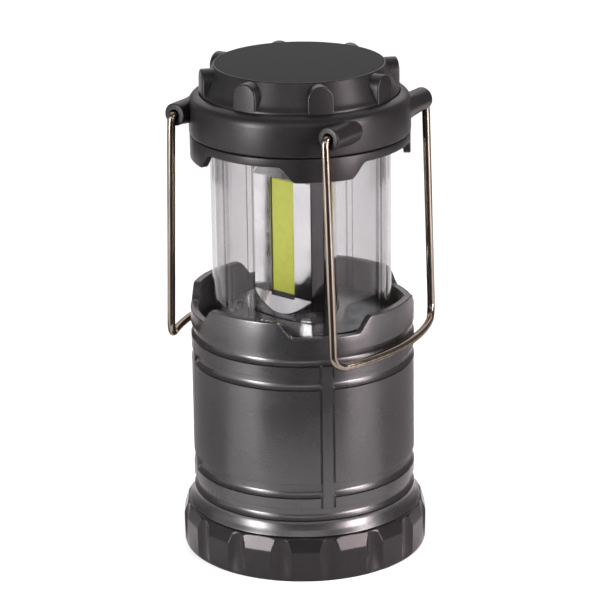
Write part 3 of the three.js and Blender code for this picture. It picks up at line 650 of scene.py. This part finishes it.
def clear_lens():
    return clear_plastic("clear_lens", (0.82, 0.815, 0.82))


def lens_edge():
    """The side walls of the lens ribs, which look dark because they bend the light away."""
    return clear_plastic("lens_edge", (0.52, 0.51, 0.52))


def floor_white():
    finish = Finish("floor_white", roughness=0.75)
    finish.colour(finish.ramp(finish.noise(3, 2), [(0.3, (0.90, 0.90, 0.90)), (0.7, (0.92, 0.92, 0.92))]))
    finish.shader.inputs["Specular IOR Level"].default_value = 0.1
    return finish.material


# ---------------------------------------------------------------- battery cover


def flute_azimuths():
    step = 360 / COVER_FLATS
    return [COVER_FIRST_FLAT + step * (i + 0.5) for i in range(COVER_FLATS)]


def cover_radius(azimuth, height):
    """Sixteen flats that lean in above the chamfer line, with a round flute at each corner.

    Near the floor the wall blends to a circle.
    """
    step = 360 / COVER_FLATS
    off_flat = math.radians((azimuth - COVER_FIRST_FLAT + step / 2) % step - step / 2)
    off_flute = math.radians((azimuth - COVER_FIRST_FLAT) % step - step / 2)
    lean = (COVER_FLAT_RADIUS - COVER_TOP_RADIUS) / COVER_CHAMFER
    wall = COVER_FLAT_RADIUS / math.cos(off_flat)
    slope = (COVER_TOP_RADIUS + lean * (COVER_TOP - height)) / math.cos(off_flat)
    cone = COVER_TOP_RADIUS + 0.1
    cone += (COVER_CORNER_RADIUS - cone) * min((COVER_TOP - height) / COVER_CHAMFER, 1.0)
    radius = min(smooth_min(wall, slope, 0.12), cone)
    across = FLUTE_CENTRE * math.sin(off_flute)
    if abs(across) < FLUTE_RADIUS:
        flute = FLUTE_CENTRE * math.cos(off_flute) - math.sqrt(FLUTE_RADIUS**2 - across**2)
        radius = smooth_min(radius, flute, 0.3)
    share = max(1 - height / COVER_FOOT_HEIGHT, 0.0) ** 2
    return radius + (COVER_FOOT_RADIUS - radius) * share


def cover_section(azimuth):
    chamfer_z = COVER_TOP - COVER_CHAMFER
    heights = COVER_FOOT_RINGS + series(COVER_WALL_START, chamfer_z + 0.6, 9)
    heights += series(chamfer_z + 0.8, COVER_TOP - 0.3, 18)
    foot = cover_radius(azimuth, 0)
    outline = [(0, COVER_RECESS_DEPTH), (COVER_RECESS_RADIUS, COVER_RECESS_DEPTH)]
    outline += [(COVER_RECESS_RADIUS + 0.2, 0), (foot - 0.5, 0), (foot - 0.15, 0.15)]
    outline += [(cover_radius(azimuth, height), height) for height in heights]
    rim = cover_radius(azimuth, COVER_TOP)
    outline += [(rim - 0.07, COVER_TOP - 0.08), (rim - 0.3, COVER_TOP), (COVER_BORE + 0.3, COVER_TOP)]
    outline += [(COVER_BORE, COVER_TOP - 0.3), (COVER_BORE, COVER_FLOOR), (0, COVER_FLOOR)]
    return outline


def battery_cover(material):
    offsets = series(0, FLUTE_HALF_ANGLE, 22)
    shape = around(cover_section, spread(FINE_STEP, flute_azimuths(), offsets), closed=False)
    make_piece("cover_moulding", shape, "battery_cover", material, ["battery_cover"])


# ---------------------------------------------------------------- base


def groove_depth(height, bridge):
    """How far the body's wall is sunk at a height. bridge is 1 on an upright strip and 0 off it."""
    for top, bottom in GROOVES:
        share = 1 - bridge if (top, bottom) in BRIDGED_GROOVES else 1
        if bottom - LINE_HEIGHT < height < bottom:
            place = 2 * (bottom - height) / LINE_HEIGHT - 1
            return share * LINE_DEPTH * (1 - abs(place))
        if bottom <= height <= top - GROOVE_EDGE:
            rise = min((height - bottom) / GROOVE_FLANK, 1)
            return share * GROOVE_DEPTH * math.sin(rise * math.pi / 2)
        if top - GROOVE_EDGE < height < top + GROOVE_EDGE:
            return share * GROOVE_EDGE_DEPTH
    return 0.0


def body_radius(azimuth, height):
    """The body's wall, with its ring grooves and a fine line down both sides of each upright strip."""
    off_strip = abs(math.radians(from_nearest(azimuth, NOTCH_AZIMUTHS))) * BODY_RADIUS
    bridge = 1 - smooth_step(off_strip, STRIP_HALF, STRIP_HALF + 0.25)
    depth = groove_depth(height, bridge)
    if GROOVES[0][0] < height < GROOVES[-1][1]:
        place = (off_strip - STRIP_HALF) / STRIP_LINE_WIDTH
        if 0 < place < 1:
            depth = max(depth, STRIP_LINE_DEPTH * math.sin(place * math.pi))
    return BODY_RADIUS - depth


def wall_heights():
    heights = [WALL_START]
    for top, bottom in GROOVES:
        heights += [bottom - LINE_HEIGHT, bottom - LINE_HEIGHT / 2]
        heights += [bottom + GROOVE_FLANK * i / 8 for i in range(9)]
        heights += [top - 0.12, top, top + 0.12]
    return heights


def collar_top(azimuth):
    """The top edge dips into four notches with S-shaped flanks."""
    off_notch = abs(from_nearest(azimuth, NOTCH_AZIMUTHS))
    return NOTCH_FLOOR + (BODY_TOP - NOTCH_FLOOR) * smooth_step(off_notch, NOTCH_HALF, NOTCH_TOP_HALF)


def shell_section(azimuth):
    top = collar_top(azimuth)
    bottom = shell_low.z
    outline = [(NECK_BORE, bottom, 0), (NECK_RADIUS, bottom, 0.3), (NECK_RADIUS, SEAM_HEIGHT, 0)]
    outline += [(FLARE_RADIUS, SEAM_HEIGHT, 0.25), (FLARE_TOP_RADIUS, FLARE_TOP, 0.6)]
    outline += [(WAIST_RADIUS, WAIST_HEIGHT, 0.6)]
    outline += [(body_radius(azimuth, height), height, 0) for height in wall_heights()]
    outline += [(BODY_RADIUS, COLLAR_START, 0), (BODY_RADIUS, top, 0.45), (BODY_BORE, top, 0.35)]
    outline += [(BODY_BORE, LIP_OUTER_TOP, 0), (LIP_BORE, LIP_INNER_TOP, 0)]
    outline += [(LIP_BORE, LIP_BOTTOM, 0), (BODY_BORE, LIP_BOTTOM, 0)]
    outline += [(BODY_BORE, SHELF_OUTER_TOP, 0), (SHELF_BORE, SHELF_INNER_TOP, 0)]
    outline += [(SHELF_BORE, SHELF_BOTTOM, 0), (NECK_BORE, SHELF_BOTTOM, 0)]
    return filleted(outline)


def base_shell(material, inside):
    strip = [STRIP_HALF, STRIP_HALF + STRIP_LINE_WIDTH]
    edges = [math.degrees(length / BODY_RADIUS) for length in strip]
    offsets = series(edges[0] - 0.12, edges[1] + 0.12, 14)
    offsets += series(NOTCH_HALF - 1.5, NOTCH_TOP_HALF + 1.3, 34)
    shape = around(shell_section, spread(FINE_STEP, NOTCH_AZIMUTHS, offsets))
    shell = make_piece("base_moulding", shape, "base", material, ["base_shell"])
    # The inward-facing faces take the second material, dark partly as painted shade inside the collar.
    shell.data.materials.append(inside)
    for polygon in shell.data.polygons:
        outward = Vector((polygon.center.x, polygon.center.y, 0)).normalized()
        if polygon.normal.dot(outward) < -0.5:
            polygon.material_index = 1


# ---------------------------------------------------------------- inside the lens


def bulge(side, clearance=0.0):
    """How far a pillar face stands out from the axis at a sideways distance from its middle."""
    arc = (PILLAR_HALF_WIDTH**2 + PILLAR_BULGE**2) / (2 * PILLAR_BULGE)
    return PILLAR_APOTHEM + clearance + PILLAR_BULGE - arc + math.sqrt(arc**2 - side**2)


def alcove(height):
    """The flat a pillar face is cut back to, with ends that slope out to meet the bulge."""
    below = max(ALCOVE_BOTTOM - height, 0) * PILLAR_BULGE / (ALCOVE_BOTTOM - reflector_low.z - 1.5)
    above = max(height - ALCOVE_TOP, 0) * PILLAR_BULGE / ALCOVE_LIP
    return PILLAR_APOTHEM + below + above


def face_out(side, height):
    """How far a bright face stands out from the axis, with the pocket that the LED strip sits in."""
    out = smooth_min(bulge(side), alcove(height), 0.12)
    if abs(side) < COB_HALF_WIDTH + 0.3 and POCKET_BOTTOM < height < cob_high.z + 0.3:
        out = POCKET_FLOOR
    return out


def reflector_shape():
    half = PILLAR_HALF_WIDTH - 0.25
    pocket = COB_HALF_WIDTH + 0.3
    sides = sorted(series(-half, half, 92) + [-pocket, 0.02 - pocket, pocket - 0.02, pocket])
    heights = [reflector_low.z] + series(reflector_low.z + 0.3, ALCOVE_BOTTOM - 0.1, 36)
    heights += [ALCOVE_BOTTOM, ALCOVE_BOTTOM + 0.15] + series(ALCOVE_BOTTOM + 2, ALCOVE_TOP - 2, 12)
    heights += [ALCOVE_TOP - 0.15, ALCOVE_TOP] + series(ALCOVE_TOP + 0.1, ALCOVE_TOP + 9, 40)
    heights += [POCKET_BOTTOM, POCKET_BOTTOM + 0.02, cob_high.z + 0.28, cob_high.z + 0.3]
    heights = sorted(heights + [reflector_high.z])
    back = half - REFLECTOR_TAPER
    loops = []
    for height in heights:
        loop = [(side, -face_out(side, height), height) for side in sides]
        loop += [(back, -REFLECTOR_BACK, height), (-back, -REFLECTOR_BACK, height)]
        loops.append(loop)
    return loft(loops)


def led_board_shape():
    """The strip's dark board, which fills the floor of its pocket."""
    low, high, half = POCKET_BOTTOM + 0.1, cob_high.z + 0.2, COB_HALF_WIDTH + 0.2
    outline = [(-half, low), (half, low), (half, high), (-half, high)]
    return loft([[(x, -out, z) for x, z in outline] for out in (COB_BACK - 0.2, COB_BACK, COB_BACK + 0.1)])


def led_gel_shape():
    """A cast strip of gel with a rounded edge."""
    loops = []
    for i in range(6):
        angle = math.pi / 2 * i / 5
        inset = 0.05 + 0.4 * (1 - math.cos(angle))
        out = COB_BACK + 0.4 + 0.48 * math.sin(angle)
        x = COB_HALF_WIDTH - inset
        low, high = cob_low.z + inset, cob_high.z - inset
        loops.append([(-x, -out, low), (x, -out, low), (x, -out, high), (-x, -out, high)])
    return loft(loops)


def pillar_faces(bright, board, gel):
    for i, azimuth in enumerate(FACE_AZIMUTHS, 1):
        make_piece(f"reflector_face_{i}", at_azimuth(reflector_shape(), azimuth), "head",
                   bright, [f"reflector_{i}"])
        make_piece(f"led_board_{i}", at_azimuth(led_board_shape(), azimuth), "head", board)
        make_piece(f"led_gel_{i}", at_azimuth(led_gel_shape(), azimuth), "head",
                   gel, [f"cob_strip_{i}"])


def reflector_plate(material):
    """The well's plated floor, with a hole that the pillar passes through."""
    hole = []
    for azimuth in FACE_AZIMUTHS:
        turn = Matrix.Rotation(math.radians(azimuth), 2)
        for side in series(-PILLAR_HALF_WIDTH, PILLAR_HALF_WIDTH, 40):
            hole.append(turn @ Vector((side, -bulge(side, WELL_CLEARANCE))))
    outer_radius = plate_high.x

    def ring(points, height):
        return [(p.x, p.y, height) for p in points]

    def circle(radius):
        return [p.normalized() * radius for p in hole]

    rounded = [p * 1.012 for p in hole]
    loops = [
        ring(circle(outer_radius), plate_low.z), ring(circle(outer_radius), plate_high.z - 0.2),
        ring(circle(outer_radius - 0.2), plate_high.z), ring(rounded, plate_high.z),
        ring(hole, plate_high.z - 0.2), ring(hole, plate_low.z),
    ]
    make_piece("mirror_disc", loft(loops, "joined"), "base", material, ["reflector_plate"])


def lens_section(azimuth):
    off_rib = abs(math.radians(from_nearest(azimuth, RIB_AZIMUTHS))) * LENS_RADIUS
    outer = LENS_RADIUS + RIB_HEIGHT * (1 - smooth_step(off_rib, RIB_HALF_WIDTH - 0.15, RIB_HALF_WIDTH + 0.1))
    foot_top = lens_low.z + LENS_FOOT_HEIGHT
    flange_bottom = lens_high.z - LENS_FLANGE_HEIGHT
    return filleted([
        (LENS_BORE, lens_low.z, 0), (LENS_FOOT_RADIUS, lens_low.z, 0.3),
        (LENS_FOOT_RADIUS, foot_top, 0.3), (outer, foot_top, 0),
        (outer, flange_bottom, 0), (LENS_FLANGE_RADIUS, flange_bottom, 0.2),
        (LENS_FLANGE_RADIUS, lens_high.z, 0.2), (LENS_BORE, lens_high.z, 0),
    ])


def lens_tube(material, edge_material):
    edge = math.degrees(RIB_HALF_WIDTH / LENS_RADIUS)
    offsets = series(edge - 0.5, edge + 0.4, 10)
    shape = around(lens_section, spread(LENS_STEP, RIB_AZIMUTHS, offsets))
    lens = make_piece("lens", shape, "head", material, ["lens_tube"], crease=50)
    lens.data.materials.append(edge_material)
    for polygon in lens.data.polygons:
        outward = Vector((polygon.center.x, polygon.center.y, 0)).normalized()
        if abs(polygon.normal.cross(outward).z) > 0.6:
            polygon.material_index = 1


# ---------------------------------------------------------------- head


def skirt_section(azimuth):
    off_tab = abs(from_nearest(azimuth, NOTCH_AZIMUTHS))
    bottom = TAB_BOTTOM + (SKIRT_BOTTOM - TAB_BOTTOM) * smooth_step(off_tab, TAB_HALF, TAB_TOP_HALF)
    flange = LENS_FLANGE_RADIUS + 0.3
    return filleted([
        (SKIRT_BORE, SKIRT_BOTTOM, 0.2), (TAB_INNER_RADIUS, SKIRT_BOTTOM + 0.01, 0),
        (TAB_INNER_RADIUS, bottom, 0.3), (SKIRT_RADIUS, bottom, 0.5), (SKIRT_RADIUS, SKIRT_TOP, 0.5),
        (flange, SKIRT_TOP, 0), (flange, SKIRT_TOP - SKIRT_REBATE, 0),
        (SKIRT_BORE, SKIRT_TOP - SKIRT_REBATE, 0),
    ])


def skirt_ring(material):
    offsets = series(TAB_HALF - 0.9, TAB_TOP_HALF + 1.2, 32)
    shape = around(skirt_section, spread(FINE_STEP, NOTCH_AZIMUTHS, offsets))
    make_piece("skirt", shape, "head", material, ["skirt_ring"])


def boss_loop(y, drop, inset=0.0):
    """The outline of a barrel and the web under it at a place along it, kept off the band's bore."""
    points = []
    for i in range(BARREL_SIDES):
        angle = 2 * math.pi * i / BARREL_SIDES
        nx, nz = math.cos(angle), math.sin(angle)
        low = WEB_RADIUS - drop * nz
        if low > BARREL_RADIUS:
            x, z = (WEB_RADIUS - inset) * nx, (WEB_RADIUS - inset) * nz - drop
        else:
            x, z = (BARREL_RADIUS - inset) * nx, (BARREL_RADIUS - inset) * nz
        x += PIVOT_X
        out = math.hypot(x, y)
        keep = max(1.0, (BAND_BORE + 0.8) / out)
        points.append((x * keep, -y * keep, PIVOT_Z + z))
    return points


def boss_shape():
    """One barrel with its web and the hole for the wire, on the +X, -Y corner."""
    loops = [boss_loop(BARREL_START, WEB_DROP), boss_loop(WEB_TAPER_START, WEB_DROP)]
    for share in (0.15, 0.35, 0.55, 0.75, 0.9, 1.0):
        y = WEB_TAPER_START + (BARREL_END - 1.0 - WEB_TAPER_START) * share
        loops.append(boss_loop(y, WEB_DROP * (1 - share) + WEB_END_DROP * share))
    for i in range(5):
        angle = math.pi / 2 * i / 4
        y = BARREL_END - BARREL_EDGE + BARREL_EDGE * math.sin(angle)
        loops.append(boss_loop(y, 0.0, BARREL_EDGE * (1 - math.cos(angle))))

    def hole_loop(y, radius):
        turns = [2 * math.pi * i / BARREL_SIDES for i in range(BARREL_SIDES)]
        return [(PIVOT_X + radius * math.cos(t), -y, PIVOT_Z + radius * math.sin(t)) for t in turns]

    loops.append(hole_loop(BARREL_END, BARREL_HOLE_RADIUS + 0.25))
    loops.append(hole_loop(BARREL_END - 0.2, BARREL_HOLE_RADIUS))
    loops.append(hole_loop(BARREL_END - BARREL_HOLE_DEPTH, BARREL_HOLE_RADIUS))
    return loft(loops)


def four_corners(shape):
    mirrors = [(1, 1), (1, -1), (-1, 1), (-1, -1)]
    return [moved(shape, Matrix.Diagonal((x, y, 1, 1))) for x, y in mirrors]


def cap_band(material):
    low, high = band_low.z, band_high.z
    section = filleted([
        (BAND_BORE, low, 0.2), (BAND_RADIUS, low, 0.6), (BAND_RADIUS, high - BAND_SHOULDER_DROP, 1.5),
        (BAND_TOP_RADIUS, high - BAND_TOP_DROP, 1.2), (BAND_LIP_BORE, high, 0.4),
        (BAND_LIP_BORE, high - BAND_LIP_HEIGHT, 0), (BAND_BORE, high - BAND_LIP_HEIGHT, 0),
    ])
    ring = around(lambda azimuth: section, spread(FINE_STEP))
    shape = combined([ring, *four_corners(boss_shape())])
    make_piece("cap_ring", shape, "head", material, ["cap_band"])


def lug_loop(radius, inset):
    """The arch outline of a crown lug, drawn in on its sides and top."""
    half = LUG_HALF_WIDTH - inset
    bottom = band_high.z + 0.3
    centre = crown_high.z - LUG_TOP_DROP - LUG_HALF_WIDTH
    outline = [(-half, bottom), (half, bottom)]
    for i in range(25):
        angle = math.pi * i / 24
        outline.append((half * math.cos(angle), centre + half * math.sin(angle)))
    return [(x, -radius, z) for x, z in outline]


def lug_shape():
    loops = [lug_loop(LUG_INNER, 0.0)]
    for i in range(6):
        angle = math.pi / 2 * i / 5
        out = LUG_FACE - LUG_EDGE + LUG_EDGE * math.sin(angle)
        loops.append(lug_loop(out, LUG_EDGE * (1 - math.cos(angle))))
    return loft(loops)


def crown(material):
    roof = inlay_low.z - 0.3
    foot = band_high.z + 0.2
    recess = inlay_high.x + 0.3
    flange_top = crown_low.z + CROWN_FLANGE_HEIGHT
    section = filleted([
        (0, roof - CROWN_ROOF, 0), (CROWN_TOP_RADIUS - CROWN_WALL, roof - CROWN_ROOF, 0),
        (CROWN_FOOT_RADIUS - CROWN_WALL, foot, 0), (CROWN_FOOT_RADIUS - CROWN_WALL, crown_low.z, 0),
        (CROWN_FLANGE_RADIUS, crown_low.z, 0.2), (CROWN_FLANGE_RADIUS, flange_top, 0.2),
        (CROWN_FOOT_RADIUS, flange_top, 0), (CROWN_FOOT_RADIUS, foot + 0.3, 0.35),
        (CROWN_BEND_RADIUS, foot + CROWN_BEND_RISE, 1.4), (CROWN_TOP_RADIUS, crown_high.z, 0.45),
        (recess, crown_high.z, 0.1), (recess, roof, 0), (0, roof, 0),
    ])
    dome = around(lambda azimuth: section, spread(FINE_STEP), closed=False)
    lugs = [at_azimuth(lug_shape(), azimuth) for azimuth in LUG_AZIMUTHS]
    make_piece("crown_moulding", combined([dome, *lugs]), "head", material, ["crown"])


def top_inlay(material):
    radius = inlay_high.x + INLAY_SEAM_COVER
    section = filleted([
        (0, inlay_low.z, 0), (radius, inlay_low.z, 0), (radius, inlay_high.z, 0.3), (0, inlay_high.z, 0),
    ])
    shape = around(lambda azimuth: section, spread(INLAY_STEP), closed=False)
    make_piece("top_disc", shape, "head", material, ["top_inlay"])


# ---------------------------------------------------------------- bails


def bail_line():
    """The right bail's centre line: stub, arm, corner, bowed bar, corner, arm, stub."""
    sagitta = BAIL_BOW_X - BAIL_FOOT_X
    bow = (ARM_Y**2 + sagitta**2) / (2 * sagitta)
    corner_drop = BAIL_DROP - BAIL_CORNER

    def bow_x(y):
        return BAIL_BOW_X - bow + math.sqrt(bow**2 - y**2)

    half = [(PIVOT_X, -STUB_END, PIVOT_Z), (PIVOT_X, -STUB_END - 2, PIVOT_Z)]
    for i in range(9):
        angle = math.pi / 2 * i / 8
        y = -(ARM_Y - STUB_BEND + STUB_BEND * math.sin(angle))
        half.append((PIVOT_X, y, PIVOT_Z - STUB_BEND * (1 - math.cos(angle))))
    for share in series(0.1, 0.9, 9):
        x = PIVOT_X + (BAIL_FOOT_X - PIVOT_X) * share
        half.append((x, -ARM_Y, PIVOT_Z - corner_drop * share))
    for i in range(13):
        angle = math.pi / 2 * i / 12
        y = -ARM_Y + BAIL_CORNER * (1 - math.cos(angle))
        half.append((bow_x(y), y, PIVOT_Z - corner_drop - BAIL_CORNER * math.sin(angle)))
    for y in series(-25, -1, 17):
        half.append((bow_x(y), y, PIVOT_Z - BAIL_DROP))
    return half + [(x, -y, z) for x, y, z in reversed(half)]


def bails(material):
    shape = sweep(bail_line(), WIRE_RADIUS, 24)
    make_piece("bail_wire_right", shape, "bail_right", material, ["bail_right"], crease=60)
    make_piece("bail_wire_left", at_azimuth(shape, 180), "bail_left", material, ["bail_left"],
               crease=60)


# ---------------------------------------------------------------- CAD pieces that keep their shape


def paint_frame(names, material):
    for name in names:
        nodes[name].material_slots[0].material = material


def numbered(stem, count):
    return [f"{stem}_{i}" for i in range(1, count + 1)]


# ---------------------------------------------------------------- studio


def world_light():
    world = bpy.data.worlds.new("studio")
    world.use_nodes = True
    background = world.node_tree.nodes["Background"]
    background.inputs["Color"].default_value = (1.0, 0.985, 0.985, 1.0)
    background.inputs["Strength"].default_value = 0.3
    bpy.context.scene.world = world


def softbox(name, azimuth, height, distance, size, power, colour, target):
    """A rectangular light at an azimuth from the camera's side, aimed at a target."""
    data = bpy.data.lights.new(name, "AREA")
    data.shape = "RECTANGLE"
    data.size, data.size_y = size
    data.energy = power
    data.color = colour
    light = bpy.data.objects.new(name, data)
    light.location = Vector(polar(CAMERA_AZIMUTH + azimuth, distance, height))
    light.rotation_euler = (target - light.location).to_track_quat("-Z", "Y").to_euler()
    bpy.context.scene.collection.objects.link(light)
    light.visible_camera = False


def lights():
    low, high = (Vector(corner) for corner in cad_bounds)
    middle = Vector((0, 0, (low.z + high.z) / 2))
    softbox("strip_left", -49, 0.2, 0.85, (0.22, 0.4), 13.5, WHITE, middle)
    softbox("strip_right", 53, 0.2, 0.8, (0.3, 0.4), 12.5, ROSE, middle)
    softbox("crown_left", -48, 0.65, 0.85, (0.3, 0.3), 2.8, WHITE, middle)
    softbox("crown_right", 66, 0.65, 0.85, (0.3, 0.3), 5.0, PALE_ROSE, middle)
    softbox("side_panel", -84, 0.35, 1.0, (0.7, 0.5), 1.2, WHITE, middle)
    softbox("front_fill", 0, 0.85, 1.0, (0.8, 0.4), 2.4, WHITE, middle)
    softbox("overhead", 180, 1.25, 1.0, (2.0, 2.0), 19, WHITE, Vector((0, 0, 0)))


def camera():
    data = bpy.data.cameras.new("camera")
    data.lens = CAMERA_LENS
    data.sensor_width = CAMERA_SENSOR
    view = bpy.data.objects.new("camera", data)
    turn = Matrix.Rotation(math.radians(CAMERA_AZIMUTH), 4, "Z")
    place = Matrix.Translation(Vector((CAMERA_SIDESTEP, -CAMERA_DISTANCE, CAMERA_HEIGHT)) * MM)
    tilt = Matrix.Rotation(math.radians(90 - CAMERA_PITCH), 4, "X")
    roll = Matrix.Rotation(math.radians(CAMERA_ROLL), 4, "Z")
    view.matrix_world = turn @ place @ tilt @ roll
    bpy.context.scene.collection.objects.link(view)
    bpy.context.scene.camera = view


def floor():
    mesh = bpy.data.meshes.new("floor")
    half = FLOOR_HALF
    corners = [(-half, -half, 0), (half, -half, 0), (half, half, 0), (-half, half, 0)]
    mesh.from_pydata(corners, [], [(0, 1, 2, 3)])
    mesh.materials.append(floor_white())
    obj = bpy.data.objects.new("floor", mesh)
    bpy.context.scene.collection.objects.link(obj)


def card_board(name, shade):
    """Matt card with a slight mottle."""
    finish = Finish(name, roughness=0.9)
    light = shade * 1.2
    mottle = [(0.3, (shade, shade, shade)), (0.7, (light, light, light))]
    finish.colour(finish.ramp(finish.noise(30, 3), mottle))
    return finish.material


def dark_card(name, start, end, near, far, material):
    """A dark sector of the floor between two azimuths from the camera's side, seen only in reflections."""
    azimuths = [CAMERA_AZIMUTH + azimuth for azimuth in series(start, end, 13)]
    corners = [polar(azimuth, near, CARD_HEIGHT) for azimuth in azimuths]
    corners += [polar(azimuth, far, CARD_HEIGHT) for azimuth in reversed(azimuths)]
    mesh = bpy.data.meshes.new(name)
    mesh.from_pydata(corners, [], [tuple(range(len(corners)))])
    mesh.materials.append(material)
    obj = bpy.data.objects.new(name, mesh)
    obj.visible_camera = False
    obj.visible_shadow = False
    obj.visible_diffuse = False
    bpy.context.scene.collection.objects.link(obj)


def dark_cards():
    """Cards where the paint would mirror the pale floor.

    From the camera, an upright wall mirrors the floor about three times its own height away.
    """
    black = card_board("card_black", 0.012)
    grey = card_board("card_grey", 0.29)
    dark_card("card_front", -42, 42, 0.15, CARD_REACH, black)
    for side, turn in (("left", -1), ("right", 1)):
        dark_card(f"card_{side}_near", turn * 74, turn * CARD_END, 0.09, 0.27, grey)
        dark_card(f"card_{side}_far", turn * 95, turn * CARD_END, 0.46, CARD_REACH, black)


# ---------------------------------------------------------------- build


def build():
    body, black, steel_plate = body_paint(), inner_black(), plated_steel()
    battery_cover(cover_paint_shaded())
    base_shell(body, collar_inside_shaded())
    reflector_plate(well_plating_shaded())
    pillar_faces(bright_plating(), black, phosphor())
    lens_tube(clear_lens(), lens_edge())
    cap = cap_paint_shaded()
    skirt_ring(cap)
    cap_band(cap)
    crown(cap)
    top_inlay(matte_grey())
    bails(bail_wire())
    paint_frame(["battery_holder", "head_plate"], black)
    paint_frame(["pillar_core"], core_plating())
    paint_frame(["driver_board"], circuit_board())
    paint_frame(["cover_gasket"], seal_rubber())
    paint_frame(numbered("cell", 3), cell_sleeve())
    paint_frame(numbered("well_contact", 2) + numbered("pillar_wiper", 2), contact_brass())
    steel_names = ["bridge_plate", "pad_plate"] + numbered("cell_contact", 3) + numbered("holder_screw", 3)
    paint_frame(steel_names + numbered("head_screw", 3) + numbered("cell_spring", 3), steel_plate)


build()
world_light()
lights()
camera()
floor()
dark_cards()
bpy.context.scene.view_settings.view_transform = "Standard"
